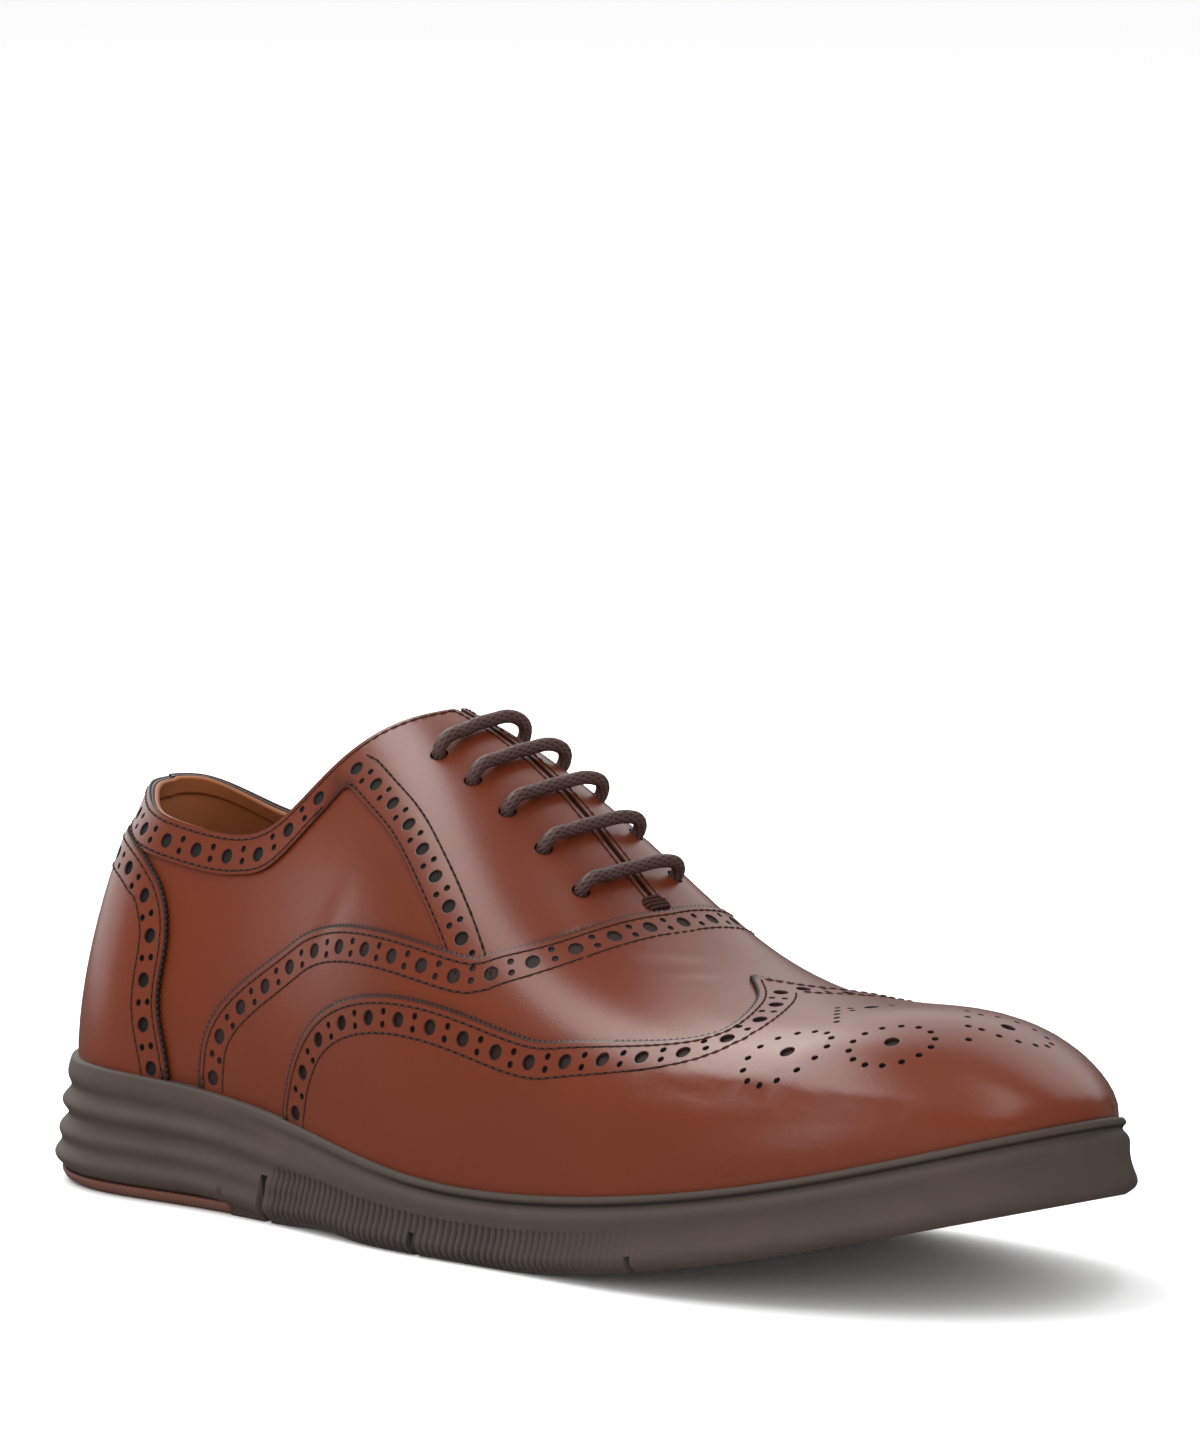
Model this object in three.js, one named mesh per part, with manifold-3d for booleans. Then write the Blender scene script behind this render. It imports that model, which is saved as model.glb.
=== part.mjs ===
// A right wingtip oxford on a unit sole. +X points to the toe, -Y to the outer (lateral) side, +Z up.
// The origin lies on the ground under the middle of the heel. Sizes are millimetres.
import * as THREE from "three";
import { mergeVertices } from "three/addons/utils/BufferGeometryUtils.js";
import Module from "manifold-3d";

const wasm = await Module();
wasm.setup();

// Driving sizes of the last
const lastLength = 301.3; // feather line, back of the heel to the tip of the toe
const ballWidth = 96; // feather line across the ball
const heelRise = 29.2; // feather line above the ground at the heel
const instepRise = 108; // crown of the instep above the ground, two fifths of the way forward
const collarRise = 91; // topline above the ground at the back of the heel
const heelSeat = 41; // back of the feather line to the origin

// Driving sizes of the upper
const wall = 1.8; // leather with its lining
const overlay = 0.8; // step of the vamp, collar and facings on the quarters
const capThickness = 1.1; // wing cap and heel counter
const clearance = 0.3; // between pieces that meet
const collarBand = 9; // width of the collar band
const throatGap = 3.6; // slit between the facings
const throatStart = 100; // slit's open end, forward of the feather line's back
const throatEnd = 172; // slit's closed end
const eyeletRadius = 2.1;
const firstEyelet = 112.3; // forward of the feather line's back
const eyeletPitch = 12.6;
const eyeletCount = 5;
const eyeletHeight = 0.785; // how far up the section, from the feather line at 0 to the crown at 1

// Driving sizes of the lace, tongue and insole
const laceRadius = 1.45;
const laceLift = 0.35; // lace above the facings
const laceArch = 1.6; // further lift of a bar beside its far eyelet
const laceEnd = 1.4; // hidden end of a bar below the facings
const laceMouth = 0.4; // middle of a bar above the facings where it leaves an eyelet
const laceHump = 0.5; // further lift of a bar just past its near eyelet
const laceCross = 0.2; // further lift of a bar over the slit
const tongueThickness = 2.4;
const tongueHalfWidth = 17;
const tongueTop = 107; // forward of the feather line's back
const tongueEnd = 186;
const insoleThickness = 3.5;

// Driving sizes of the sole
const toeSpring = 24.5; // ground to the tread under the toe
const springStart = 0.575; // share of the length where the tread leaves the ground
const springPower = 1.5;
const archRise = 1.2; // waist of the tread above the ground
const archStart = 0.3;
const archEnd = 0.43;
const ribDepth = 0.9; // waves round the heel
const ribCount = 4;
const ribEnd = 0.42; // share of the length where the waves have faded
const padLength = 76; // heel pad, from the back of the feather line
const padThickness = 3;

// Fineness of the faceted forms
const alongSteps = 30;
const upSteps = 10;
const cutUpSteps = 12;
const cutAlongSteps = 10;
const cutDepth = 6; // how far a cutting form reaches out of and into the last
const toplineSteps = 28;
const bandSteps = 16;
const facingSteps = 6;
const slitSteps = 8;
const barSteps = 16;
const skirt = 8; // how far a cutting form reaches below the feather line
const reach = 60; // how far a cutting form reaches past what it cuts

const ridgeStart = 0.119; // the crown line runs between these shares of the length
const ridgeEnd = 0.829;
const behindHeel = -0.06; // share of the length where the toplines' tables start
const facingCorner = 0.02; // share of the length that rounds the facings' top corner
const facingFront = 0.62; // share of the length where the facings end, under the vamp

// Half widths of the feather line as shares of the ball width, and how far its middle swings inward
const outlineRows = [
  { at: 0, lateral: 0, medial: 0, swing: -0.031 },
  { at: 0.03, lateral: 0.278, medial: 0.272, swing: -0.031 },
  { at: 0.1, lateral: 0.391, medial: 0.383, swing: -0.031 },
  { at: 0.2, lateral: 0.391, medial: 0.39, swing: -0.026 },
  { at: 0.32, lateral: 0.422, medial: 0.368, swing: -0.016 },
  { at: 0.45, lateral: 0.488, medial: 0.38, swing: -0.005 },
  { at: 0.58, lateral: 0.497, medial: 0.452, swing: 0 },
  { at: 0.7, lateral: 0.504, medial: 0.494, swing: 0 },
  { at: 0.8, lateral: 0.46, medial: 0.473, swing: 0 },
  { at: 0.9, lateral: 0.349, medial: 0.406, swing: 0 },
  { at: 0.97, lateral: 0.19, medial: 0.229, swing: 0 },
  { at: 1, lateral: 0, medial: 0, swing: 0 },
];

// Height of the feather line as shares of the heel rise
const featherRows = [
  { at: 0, height: 1 },
  { at: 0.15, height: 0.985 },
  { at: 0.33, height: 0.81 },
  { at: 0.5, height: 0.597 },
  { at: 0.68, height: 0.708 },
  { at: 0.85, height: 1.016 },
  { at: 1, height: 1.443 },
];

// Crown line: height as shares of the instep rise, and its shift inward as shares of the ball width
const crownRows = [
  { at: 0, height: 1.05, shift: -0.03 },
  { at: 0.2, height: 1.128, shift: 0.007 },
  { at: 0.3, height: 1.092, shift: 0.029 },
  { at: 0.4, height: 0.997, shift: 0.035 },
  { at: 0.5, height: 0.845, shift: 0.017 },
  { at: 0.6, height: 0.655, shift: 0.008 },
  { at: 0.7, height: 0.563, shift: 0.008 },
  { at: 0.8, height: 0.553, shift: 0.013 },
  { at: 0.9, height: 0.556, shift: 0.012 },
  { at: 1, height: 0.482, shift: 0 },
];

// Handles of each section's curve: belly beyond the feather line, height of the side,
// and how wide the crown stays on the outer and inner side
const sectionRows = [
  { at: 0, belly: -0.018, side: 0.385, outer: 0.48, inner: 0.48 },
  { at: 0.2, belly: 0.02, side: 0.425, outer: 0.285, inner: 0.25 },
  { at: 0.4, belly: 0.097, side: 0.68, outer: 0.53, inner: 0.53 },
  { at: 0.55, belly: 0.086, side: 0.8, outer: 0.51, inner: 0.53 },
  { at: 0.7, belly: 0.066, side: 0.75, outer: 0.6, inner: 0.595 },
  { at: 0.85, belly: 0.037, side: 0.61, outer: 0.65, inner: 0.64 },
  { at: 1, belly: 0.008, side: 0.535, outer: 0.65, inner: 0.65 },
];

// Topline in side view: height as a share of the collar rise plus a share of the instep rise
const outerTopline = [
  { at: -0.06, collar: 1, instep: 0 },
  { at: 0.05, collar: 1, instep: 0 },
  { at: 0.082, collar: 0.975, instep: 0 },
  { at: 0.112, collar: 0.957, instep: 0 },
  { at: 0.159, collar: 0.938, instep: 0 },
  { at: 0.205, collar: 0.934, instep: 0 },
  { at: 0.232, collar: 0.956, instep: 0 },
  { at: 0.252, collar: 0.5, instep: 0.424 },
  { at: 0.285, collar: 0, instep: 0.957 },
  { at: 0.318, collar: 0, instep: 1.041 },
  { at: 0.351, collar: 0, instep: 1.072 },
];
const innerTopline = [
  { at: -0.06, collar: 1, instep: 0 },
  { at: 0.046, collar: 1, instep: 0 },
  { at: 0.082, collar: 0.925, instep: 0 },
  { at: 0.112, collar: 0.893, instep: 0 },
  { at: 0.159, collar: 0.898, instep: 0 },
  { at: 0.205, collar: 0.926, instep: 0 },
  { at: 0.232, collar: 0.95, instep: 0 },
  { at: 0.252, collar: 0.5, instep: 0.418 },
  { at: 0.285, collar: 0, instep: 0.95 },
  { at: 0.318, collar: 0, instep: 1.038 },
  { at: 0.351, collar: 0, instep: 1.072 },
];

// Back edge of the facings in side view, from the collar band down to the vamp
const facingRows = [
  { at: 0.311, instep: 0.912 },
  { at: 0.348, instep: 0.874 },
  { at: 0.382, instep: 0.836 },
  { at: 0.417, instep: 0.779 },
  { at: 0.453, instep: 0.704 },
  { at: 0.48, instep: 0.634 },
  { at: 0.52, instep: 0.5 },
];

// Edge of the vamp and of the wing cap: share of the length at each height up the section
const vampEdge = [
  { up: -0.3, at: 0.206 },
  { up: 0.045, at: 0.206 },
  { up: 0.12, at: 0.214 },
  { up: 0.195, at: 0.247 },
  { up: 0.265, at: 0.298 },
  { up: 0.33, at: 0.373 },
  { up: 0.37, at: 0.473 },
  { up: 0.426, at: 0.52 },
  { up: 0.507, at: 0.541 },
  { up: 0.68, at: 0.565 },
  { up: 0.9, at: 0.574 },
  { up: 1, at: 0.576 },
];
const wingEdge = [
  { up: -0.3, at: 0.314 },
  { up: 0.046, at: 0.315 },
  { up: 0.127, at: 0.334 },
  { up: 0.207, at: 0.386 },
  { up: 0.258, at: 0.468 },
  { up: 0.295, at: 0.552 },
  { up: 0.356, at: 0.61 },
  { up: 0.484, at: 0.678 },
  { up: 0.582, at: 0.722 },
  { up: 0.66, at: 0.734 },
  { up: 0.734, at: 0.732 },
  { up: 0.82, at: 0.722 },
  { up: 0.923, at: 0.699 },
  { up: 1, at: 0.669 },
];

// Front and top edge of the heel counter in side view, as shares of the last length and collar rise
const counterRows = [
  { at: 0.17, height: 0.2 },
  { at: 0.167, height: 0.364 },
  { at: 0.154, height: 0.5 },
  { at: 0.153, height: 0.64 },
  { at: 0.144, height: 0.74 },
  { at: 0.125, height: 0.81 },
  { at: 0.1, height: 0.86 },
  { at: 0.064, height: 0.888 },
  { at: 0.03, height: 0.9 },
  { at: -0.06, height: 0.905 },
];

// Side of the sole from the tread up: how far it stands out past the feather line at heel and toe
const edgeRows = [
  { up: 0, heel: 3.4, toe: 2.6 },
  { up: 0.07, heel: 5.2, toe: 4.4 },
  { up: 0.3, heel: 4.8, toe: 4.8 },
  { up: 0.6, heel: 3.5, toe: 3.7 },
  { up: 0.8, heel: 2.6, toe: 2.9 },
  { up: 0.87, heel: 2.4, toe: 2.1 },
  { up: 0.93, heel: 2.6, toe: 2.9 },
  { up: 1, heel: 1.9, toe: 2.3 },
];
const edgeSteps = 13;

// Slots across the tread: place as a share of the length, width and depth
const slotRows = [
  { at: 0.297, width: 2.4, depth: 11 },
  { at: 0.483, width: 2, depth: 5.5 },
  { at: 0.716, width: 1.8, depth: 4 },
];

const colours = {
  leather: 0x7d4a35,
  cap: 0x834b34,
  lining: 0xa8683c,
  tongue: 0x6b3c2c,
  sole: 0x4c433c,
  pad: 0x6d4534,
  lace: 0x3c2a2a,
};

function spline(xs, ys) {
  // Natural cubic spline through the points.
  const n = xs.length;
  const diagonal = new Array(n).fill(1);
  const upper = new Array(n).fill(0);
  const bend = new Array(n).fill(0);
  for (let i = 1; i < n - 1; i++) {
    const before = xs[i] - xs[i - 1];
    const after = xs[i + 1] - xs[i];
    const slopeChange = (ys[i + 1] - ys[i]) / after - (ys[i] - ys[i - 1]) / before;
    const factor = i > 1 ? before / diagonal[i - 1] : 0;
    diagonal[i] = 2 * (before + after) - factor * upper[i - 1];
    bend[i] = 6 * slopeChange - factor * bend[i - 1];
    upper[i] = after;
  }
  for (let i = n - 2; i > 0; i--) {
    bend[i] = (bend[i] - (i < n - 2 ? upper[i] * bend[i + 1] : 0)) / diagonal[i];
  }
  bend[0] = 0;
  bend[n - 1] = 0;
  return (value) => {
    const x = Math.min(Math.max(value, xs[0]), xs[n - 1]);
    let i = 0;
    while (i < n - 2 && x > xs[i + 1]) i++;
    const h = xs[i + 1] - xs[i];
    const a = (xs[i + 1] - x) / h;
    const b = (x - xs[i]) / h;
    const cubic = ((a ** 3 - a) * bend[i] + (b ** 3 - b) * bend[i + 1]) * h * h;
    return a * ys[i] + b * ys[i + 1] + cubic / 6;
  };
}

function column(rows, key, name, scale = 1) {
  return spline(rows.map((row) => row[key]), rows.map((row) => row[name] * scale));
}

// Stations are spaced as on a half circle, which keeps the heel and toe round.
const turn = (share) => Math.acos(1 - 2 * Math.min(Math.max(share, 0), 1)) / Math.PI;
const shareAt = (p) => (1 - Math.cos(Math.PI * p)) / 2;
const place = (share) => share * lastLength - heelSeat;
const shareOf = (x) => (x + heelSeat) / lastLength;
const sampleShares = (from, to, steps) =>
  Array.from({ length: steps + 1 }, (_, i) => from + ((to - from) * i) / steps);

const turned = outlineRows.map((row) => ({ ...row, at: turn(row.at) }));
const outerHalf = column(turned, "at", "lateral", ballWidth);
const innerHalf = column(turned, "at", "medial", ballWidth);
const swing = column(turned, "at", "swing", ballWidth);
const feather = column(featherRows, "at", "height", heelRise);
const crown = column(crownRows, "at", "height", instepRise);
const crownShift = column(crownRows, "at", "shift", ballWidth);
const belly = column(sectionRows, "at", "belly");
const sideHandle = column(sectionRows, "at", "side");
const outerHandle = column(sectionRows, "at", "outer");
const innerHandle = column(sectionRows, "at", "inner");

// Point of the feather line; side is -1 on the outer side and 1 on the inner side.
function featherPoint(p, side) {
  const half = side < 0 ? outerHalf(p) : innerHalf(p);
  return new THREE.Vector3(place(shareAt(p)), swing(p) + side * half, feather(shareAt(p)));
}

// Point of the last: each section is a cubic curve from the feather line to the crown line.
function lastPoint(p, side, up) {
  const foot = featherPoint(p, side);
  const share = shareAt(p);
  const spineShare = Math.min(Math.max(share, ridgeStart), ridgeEnd);
  const spineX = place(spineShare);
  const spineY = crownShift(spineShare);
  const down = 1 - up;
  const crownHandle = side < 0 ? outerHandle(share) : innerHandle(share);
  const inward =
    down ** 3 + 3 * down * down * up * (1 + belly(share)) + 3 * down * up * up * crownHandle;
  const rise = 3 * down * down * up * sideHandle(share) + 3 * down * up * up + up ** 3;
  const x = spineX + (foot.x - spineX) * inward;
  const y = spineY + (foot.y - spineY) * inward;
  return new THREE.Vector3(x, y, foot.z + (crown(shareOf(x)) - foot.z) * rise);
}

// Outward direction on the last. It is level at the feather line, and at the ends of the heel
// and toe it is the same for both sides.
function lastNormal(p, side, up) {
  const step = 0.002;
  if (up > 1 - step) {
    const share = Math.min(Math.max(shareAt(p), ridgeStart), ridgeEnd);
    const slope = (crown(share + step) - crown(share - step)) / (2 * step * lastLength);
    return new THREE.Vector3(-slope, 0, 1).normalize();
  }
  const atEnd = p <= 0 || p >= 1;
  const face = atEnd ? -1 : side;
  const ahead = lastPoint(Math.min(p + step, 1), face, up);
  const behind = lastPoint(Math.max(p - step, 0), face, up);
  const above = lastPoint(p, face, up + step);
  const below = lastPoint(p, face, Math.max(up - step, 0));
  const normal = ahead.sub(behind).cross(above.sub(below)).multiplyScalar(-face);
  if (atEnd) normal.set(Math.hypot(normal.x, normal.y) * (p <= 0 ? -1 : 1), 0, normal.z);
  if (up <= 0) normal.z = 0;
  return normal.normalize();
}

// Point at a distance outside the last, or inside it where offset is negative.
function offsetPoint(p, side, up, offset) {
  return lastPoint(p, side, up).addScaledVector(lastNormal(p, side, up), offset);
}

function geometryFrom(points, faces) {
  const raw = new THREE.BufferGeometry();
  const numbers = points.flatMap((q) => [q.x, q.y, q.z]);
  raw.setAttribute("position", new THREE.Float32BufferAttribute(numbers, 3));
  raw.setIndex(faces);
  return raw;
}

function solidFrom(geometry) {
  const bare = geometry.clone();
  bare.deleteAttribute("normal");
  bare.deleteAttribute("uv");
  const merged = mergeVertices(bare, 1e-4);
  const old = merged.index.array;
  const kept = [];
  for (let i = 0; i < old.length; i += 3) {
    const [a, b, c] = [old[i], old[i + 1], old[i + 2]];
    if (a !== b && b !== c && c !== a) kept.push(a, b, c);
  }
  const mesh = new wasm.Mesh({
    numProp: 3,
    vertProperties: merged.attributes.position.array,
    triVerts: new Uint32Array(kept),
  });
  return new wasm.Manifold(mesh);
}

// Closes a stack of rings, each with as many points, by quads between them and a strip across
// the first and last ring. Rings run heel, outer side, toe, inner side.
function stackSolid(rings, closeTop) {
  const count = rings[0].length;
  const half = count / 2;
  const points = rings.flat();
  const faces = [];
  for (let r = 0; r + 1 < rings.length; r++) {
    for (let i = 0; i < count; i++) {
      const a = r * count + i;
      const b = r * count + ((i + 1) % count);
      faces.push(a, b, b + count, a, b + count, a + count);
    }
  }
  const cap = (start, flip) => {
    for (let i = 0; i < half; i++) {
      const a = start + i;
      const b = start + i + 1;
      const c = start + ((count - i - 1) % count);
      const d = start + ((count - i) % count);
      faces.push(...(flip ? [a, c, b, a, d, c] : [a, b, c, a, c, d]));
    }
  };
  cap(0, true);
  if (closeTop) cap((rings.length - 1) * count, false);
  return solidFrom(geometryFrom(points, faces));
}

// One ring round the shoe from a function of p and side.
function ring(steps, pointAt) {
  const points = [];
  for (let i = 0; i < steps; i++) points.push(pointAt(i / steps, -1));
  for (let i = steps; i > 0; i--) points.push(pointAt(i / steps, 1));
  return points;
}

// The closed form of the last at an offset, reaching below the feather line where it cuts.
function lastForm(offset, below = 0) {
  const rings = [];
  if (below > 0) {
    rings.push(ring(alongSteps, (p, side) => {
      const point = offsetPoint(p, side, 0, offset);
      point.z -= below;
      return point;
    }));
  }
  for (let j = 0; j <= upSteps; j++) {
    rings.push(ring(alongSteps, (p, side) => offsetPoint(p, side, j / upSteps, offset)));
  }
  return stackSolid(rings, false);
}

// A thick cutting form over everything in front of an edge drawn on the last.
function frontForm(edge) {
  const edgeShare = column(edge, "up", "at");
  const rows = [-skirt, ...sampleShares(0, 1, cutUpSteps)];
  const points = [];
  const faces = [];
  const index = new Map();
  const add = (layer, i, j) => {
    const key = `${layer},${i},${j}`;
    if (index.has(key)) return index.get(key);
    const side = j < 0 ? -1 : 1;
    const row = rows[rows.length - Math.abs(j)] ?? 1;
    const up = Math.max(row, 0);
    const start = turn(edgeShare(up));
    const p = start + ((1 - start) * i) / cutAlongSteps;
    const point = offsetPoint(p, side, up, layer === 0 ? cutDepth : -cutDepth);
    if (row < 0) point.z -= skirt;
    index.set(key, points.push(point) - 1);
    return index.get(key);
  };
  const top = rows.length;
  for (let j = -top; j < top; j++) {
    for (let i = 0; i < cutAlongSteps; i++) {
      const quad = (layer) => [
        add(layer, i, j),
        add(layer, i + 1, j),
        add(layer, i + 1, j + 1),
        add(layer, i, j + 1),
      ];
      const [a, b, c, d] = quad(0);
      faces.push(a, b, c, a, c, d);
      const [e, f, g, h] = quad(1);
      faces.push(e, g, f, e, h, g);
    }
    const [a, b, c, d] = [add(0, 0, j), add(0, 0, j + 1), add(1, 0, j + 1), add(1, 0, j)];
    faces.push(a, b, c, a, c, d);
  }
  for (const j of [-top, top]) {
    for (let i = 0; i < cutAlongSteps; i++) {
      const [a, b, c, d] = [add(0, i, j), add(0, i + 1, j), add(1, i + 1, j), add(1, i, j)];
      faces.push(...(j < 0 ? [a, d, c, a, c, b] : [a, b, c, a, c, d]));
    }
  }
  return solidFrom(geometryFrom(points, faces));
}

// A prism across the shoe from a closed outline in side view.
function sideForm(outline, y0, y1) {
  const shape = new THREE.Shape(outline.map(([x, z]) => new THREE.Vector2(x, z)));
  const geometry = new THREE.ExtrudeGeometry(shape, { depth: y1 - y0, bevelEnabled: false });
  geometry.rotateX(Math.PI / 2);
  geometry.translate(0, y1, 0);
  return solidFrom(geometry);
}

function boxForm(x0, x1, y0, y1, z0, z1) {
  const geometry = new THREE.BoxGeometry(x1 - x0, y1 - y0, z1 - z0);
  geometry.translate((x0 + x1) / 2, (y0 + y1) / 2, (z0 + z1) / 2);
  return solidFrom(geometry);
}

function addPiece(group, name, solid, colour, roughness) {
  const made = solid.getMesh();
  const geometry = new THREE.BufferGeometry();
  geometry.setAttribute("position", new THREE.BufferAttribute(made.vertProperties, 3));
  geometry.setIndex(new THREE.BufferAttribute(made.triVerts, 1));
  geometry.computeVertexNormals();
  const material = new THREE.MeshStandardMaterial({ color: colour, roughness, metalness: 0 });
  const mesh = new THREE.Mesh(geometry, material);
  mesh.name = name;
  group.add(mesh);
}

// Topline

function toplineHeight(rows) {
  const collarPart = column(rows, "at", "collar", collarRise);
  const instepPart = column(rows, "at", "instep", instepRise);
  return (share) => collarPart(share) + instepPart(share);
}
const outerTop = toplineHeight(outerTopline);
const innerTop = toplineHeight(innerTopline);

function aboveTopline(height, rows, y0, y1) {
  const first = rows[0].at;
  const last = rows[rows.length - 1].at;
  const edge = sampleShares(first, last, toplineSteps).map((share) => [place(share), height(share)]);
  const high = instepRise + reach;
  return sideForm([...edge, [place(last), high], [place(first), high]], y0, y1);
}

// Upper

// Everything above the lower edge of the collar band and behind the back edge of the facings.
function collarAndFacings(height, y0, y1, lower = 0) {
  const corner = facingRows[0];
  const bandShares = sampleShares(behindHeel, corner.at - facingCorner, bandSteps);
  const band = bandShares.map((share) => [place(share), height(share) - collarBand - lower]);
  const facingEdge = column(facingRows, "at", "instep", instepRise);
  const end = facingRows[facingRows.length - 1].at;
  const facingShares = sampleShares(corner.at, end, facingSteps);
  const facing = facingShares.map((share) => [place(share), facingEdge(share)]);
  const high = instepRise + reach;
  const throat = place(facingFront);
  return sideForm(
    [...band, ...facing, [throat, facingEdge(end)], [throat, high], [place(behindHeel), high]],
    y0,
    y1,
  );
}

function throatSlit() {
  const rows = sampleShares(throatStart / lastLength, throatEnd / lastLength, slitSteps);
  const half = throatGap / 2;
  const outerEdge = rows.map((share) => [place(share), crownShift(share) - half]);
  const innerEdge = rows.map((share) => [place(share), crownShift(share) + half]).reverse();
  const outline = [...outerEdge, ...innerEdge].map(([x, y]) => new THREE.Vector2(x, y));
  const geometry = new THREE.ExtrudeGeometry(new THREE.Shape(outline), {
    depth: reach * 2,
    bevelEnabled: false,
  });
  geometry.translate(0, 0, crown(throatEnd / lastLength) - skirt);
  return solidFrom(geometry);
}

const eyeletPlaces = Array.from({ length: eyeletCount }, (_, i) =>
  turn((firstEyelet + i * eyeletPitch) / lastLength),
);

function eyeletHole(p, side) {
  const centre = lastPoint(p, side, eyeletHeight);
  const normal = lastNormal(p, side, eyeletHeight);
  const geometry = new THREE.CylinderGeometry(eyeletRadius, eyeletRadius, 2 * cutDepth, 12);
  const axis = new THREE.Vector3(0, 1, 0);
  geometry.applyQuaternion(new THREE.Quaternion().setFromUnitVectors(axis, normal));
  geometry.translate(centre.x, centre.y, centre.z);
  return solidFrom(geometry);
}

const outerEdge = -reach;
const innerEdge = reach;
const middle = crownShift(0.1);
const inside = -(overlay + wall);
const vampSurface = lastForm(0);

function upperSolid() {
  const quarters = lastForm(-overlay);
  const vamp = vampSurface.intersect(frontForm(vampEdge));
  const outerFacing = vampSurface.intersect(collarAndFacings(outerTop, outerEdge, 0));
  const innerFacing = vampSurface.intersect(collarAndFacings(innerTop, 0, innerEdge));
  let solid = quarters.add(vamp).add(outerFacing).add(innerFacing);
  solid = solid.subtract(lastForm(inside, skirt));
  solid = solid.subtract(aboveTopline(outerTop, outerTopline, outerEdge, middle + clearance));
  solid = solid.subtract(aboveTopline(innerTop, innerTopline, middle - clearance, innerEdge));
  solid = solid.subtract(throatSlit());
  for (const p of eyeletPlaces) {
    solid = solid.subtract(eyeletHole(p, -1)).subtract(eyeletHole(p, 1));
  }
  return solid;
}

function wingCapSolid() {
  const outer = lastForm(clearance + capThickness).intersect(frontForm(wingEdge));
  return outer.subtract(lastForm(clearance, skirt));
}

function counterSolid() {
  const outer = lastForm(clearance + capThickness - overlay);
  const edge = counterRows.map((row) => [place(row.at), row.height * collarRise]);
  const corner = [place(behindHeel), counterRows[0].height * collarRise];
  const region = sideForm([...edge, corner], outerEdge, innerEdge);
  return outer
    .intersect(region)
    .subtract(lastForm(clearance - overlay, skirt))
    .subtract(collarAndFacings(outerTop, outerEdge, middle, clearance))
    .subtract(collarAndFacings(innerTop, middle, innerEdge, clearance));
}

function tongueSolid() {
  const outer = lastForm(inside - clearance);
  const inner = lastForm(inside - clearance - tongueThickness, skirt);
  const [x0, x1] = [tongueTop - heelSeat, tongueEnd - heelSeat];
  const middleY = crownShift(0.5);
  const [y0, y1] = [middleY - tongueHalfWidth, middleY + tongueHalfWidth];
  const region = boxForm(x0, x1, y0, y1, heelRise, instepRise + reach);
  return outer.subtract(inner).intersect(region);
}

// The insole is the slice of the room inside the upper that lies on the sole.
function insoleSolid() {
  const level = (rise) => ring(alongSteps, (p, side) => {
    const point = offsetPoint(p, side, 0, clearance);
    point.z += rise;
    return point;
  });
  const layer = stackSolid([level(0), level(insoleThickness)], true);
  return layer.intersect(lastForm(inside - clearance, skirt));
}

// Sole

const archWave = (share) => Math.sin((Math.PI * (share - archStart)) / (archEnd - archStart)) ** 2;

function treadHeight(share) {
  if (share > springStart) {
    return toeSpring * ((share - springStart) / (1 - springStart)) ** springPower;
  }
  return share > archStart && share < archEnd ? archRise * archWave(share) : 0;
}

// How far the side of the sole stands out past the feather line at a height up its edge.
const heelEdge = column(edgeRows, "up", "heel");
const toeEdge = column(edgeRows, "up", "toe");

function edgeOut(share, up) {
  const forward = THREE.MathUtils.smoothstep(share, 0.15, 0.5);
  const fade = 1 - THREE.MathUtils.smoothstep(share, 0.12, ribEnd);
  const body = Math.sin(Math.PI * Math.min(Math.max((up - 0.06) / 0.9, 0), 1)) ** 0.5;
  const wave = Math.cos(2 * Math.PI * (ribCount * up - 0.25));
  return heelEdge(up) * (1 - forward) + toeEdge(up) * forward + ribDepth * fade * body * wave;
}

function soleForm() {
  const rings = [];
  for (let j = 0; j <= edgeSteps; j++) {
    const up = j / edgeSteps;
    rings.push(ring(alongSteps, (p, side) => {
      const share = shareAt(p);
      const top = feather(share) - clearance;
      const bottom = treadHeight(share);
      const out = lastNormal(p, side, 0).multiplyScalar(edgeOut(share, up));
      return featherPoint(p, side).add(out).setZ(bottom + (top - bottom) * up);
    }));
  }
  return stackSolid(rings, true);
}

function soleSolids() {
  const form = soleForm();
  const back = -heelSeat - reach;
  const padFront = padLength - heelSeat;
  const padRegion = boxForm(back, padFront, outerEdge, innerEdge, -reach, padThickness);
  const recess = boxForm(back, padFront + clearance, outerEdge, innerEdge, -reach, padThickness + clearance);
  let sole = form.subtract(recess);
  for (const { at, width, depth } of slotRows) {
    const x = place(at);
    const top = treadHeight(at) + depth;
    sole = sole.subtract(boxForm(x - width / 2, x + width / 2, outerEdge, innerEdge, -reach, top));
  }
  return { sole, pad: form.intersect(padRegion) };
}

// One straight bar of the lace, from its near eyelet over the throat and down its far one.
function laceBar(p) {
  const lift = laceRadius + laceLift;
  const stops = [
    [-1, eyeletHeight, -laceEnd],
    [-1, eyeletHeight, laceMouth],
    [-1, eyeletHeight + 0.03, lift + laceHump],
    [-1, eyeletHeight + 0.09, lift],
    [-1, 0.94, lift],
    [1, 1, lift + laceCross],
    [1, 0.94, lift + laceArch * 0.6],
    [1, eyeletHeight + 0.09, lift + laceArch],
    [1, eyeletHeight + 0.03, lift + laceArch * 0.7],
    [1, eyeletHeight, laceMouth],
    [1, eyeletHeight, -laceEnd],
  ];
  const points = stops.map(([side, up, out]) => offsetPoint(p, side, up, out));
  const path = new THREE.CatmullRomCurve3(points);
  const section = new THREE.Shape();
  section.absarc(0, 0, laceRadius, 0, Math.PI * 2);
  const bar = new THREE.ExtrudeGeometry(section, {
    extrudePath: path,
    steps: barSteps,
    curveSegments: 4,
    bevelEnabled: false,
  });
  return solidFrom(bar);
}

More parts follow.
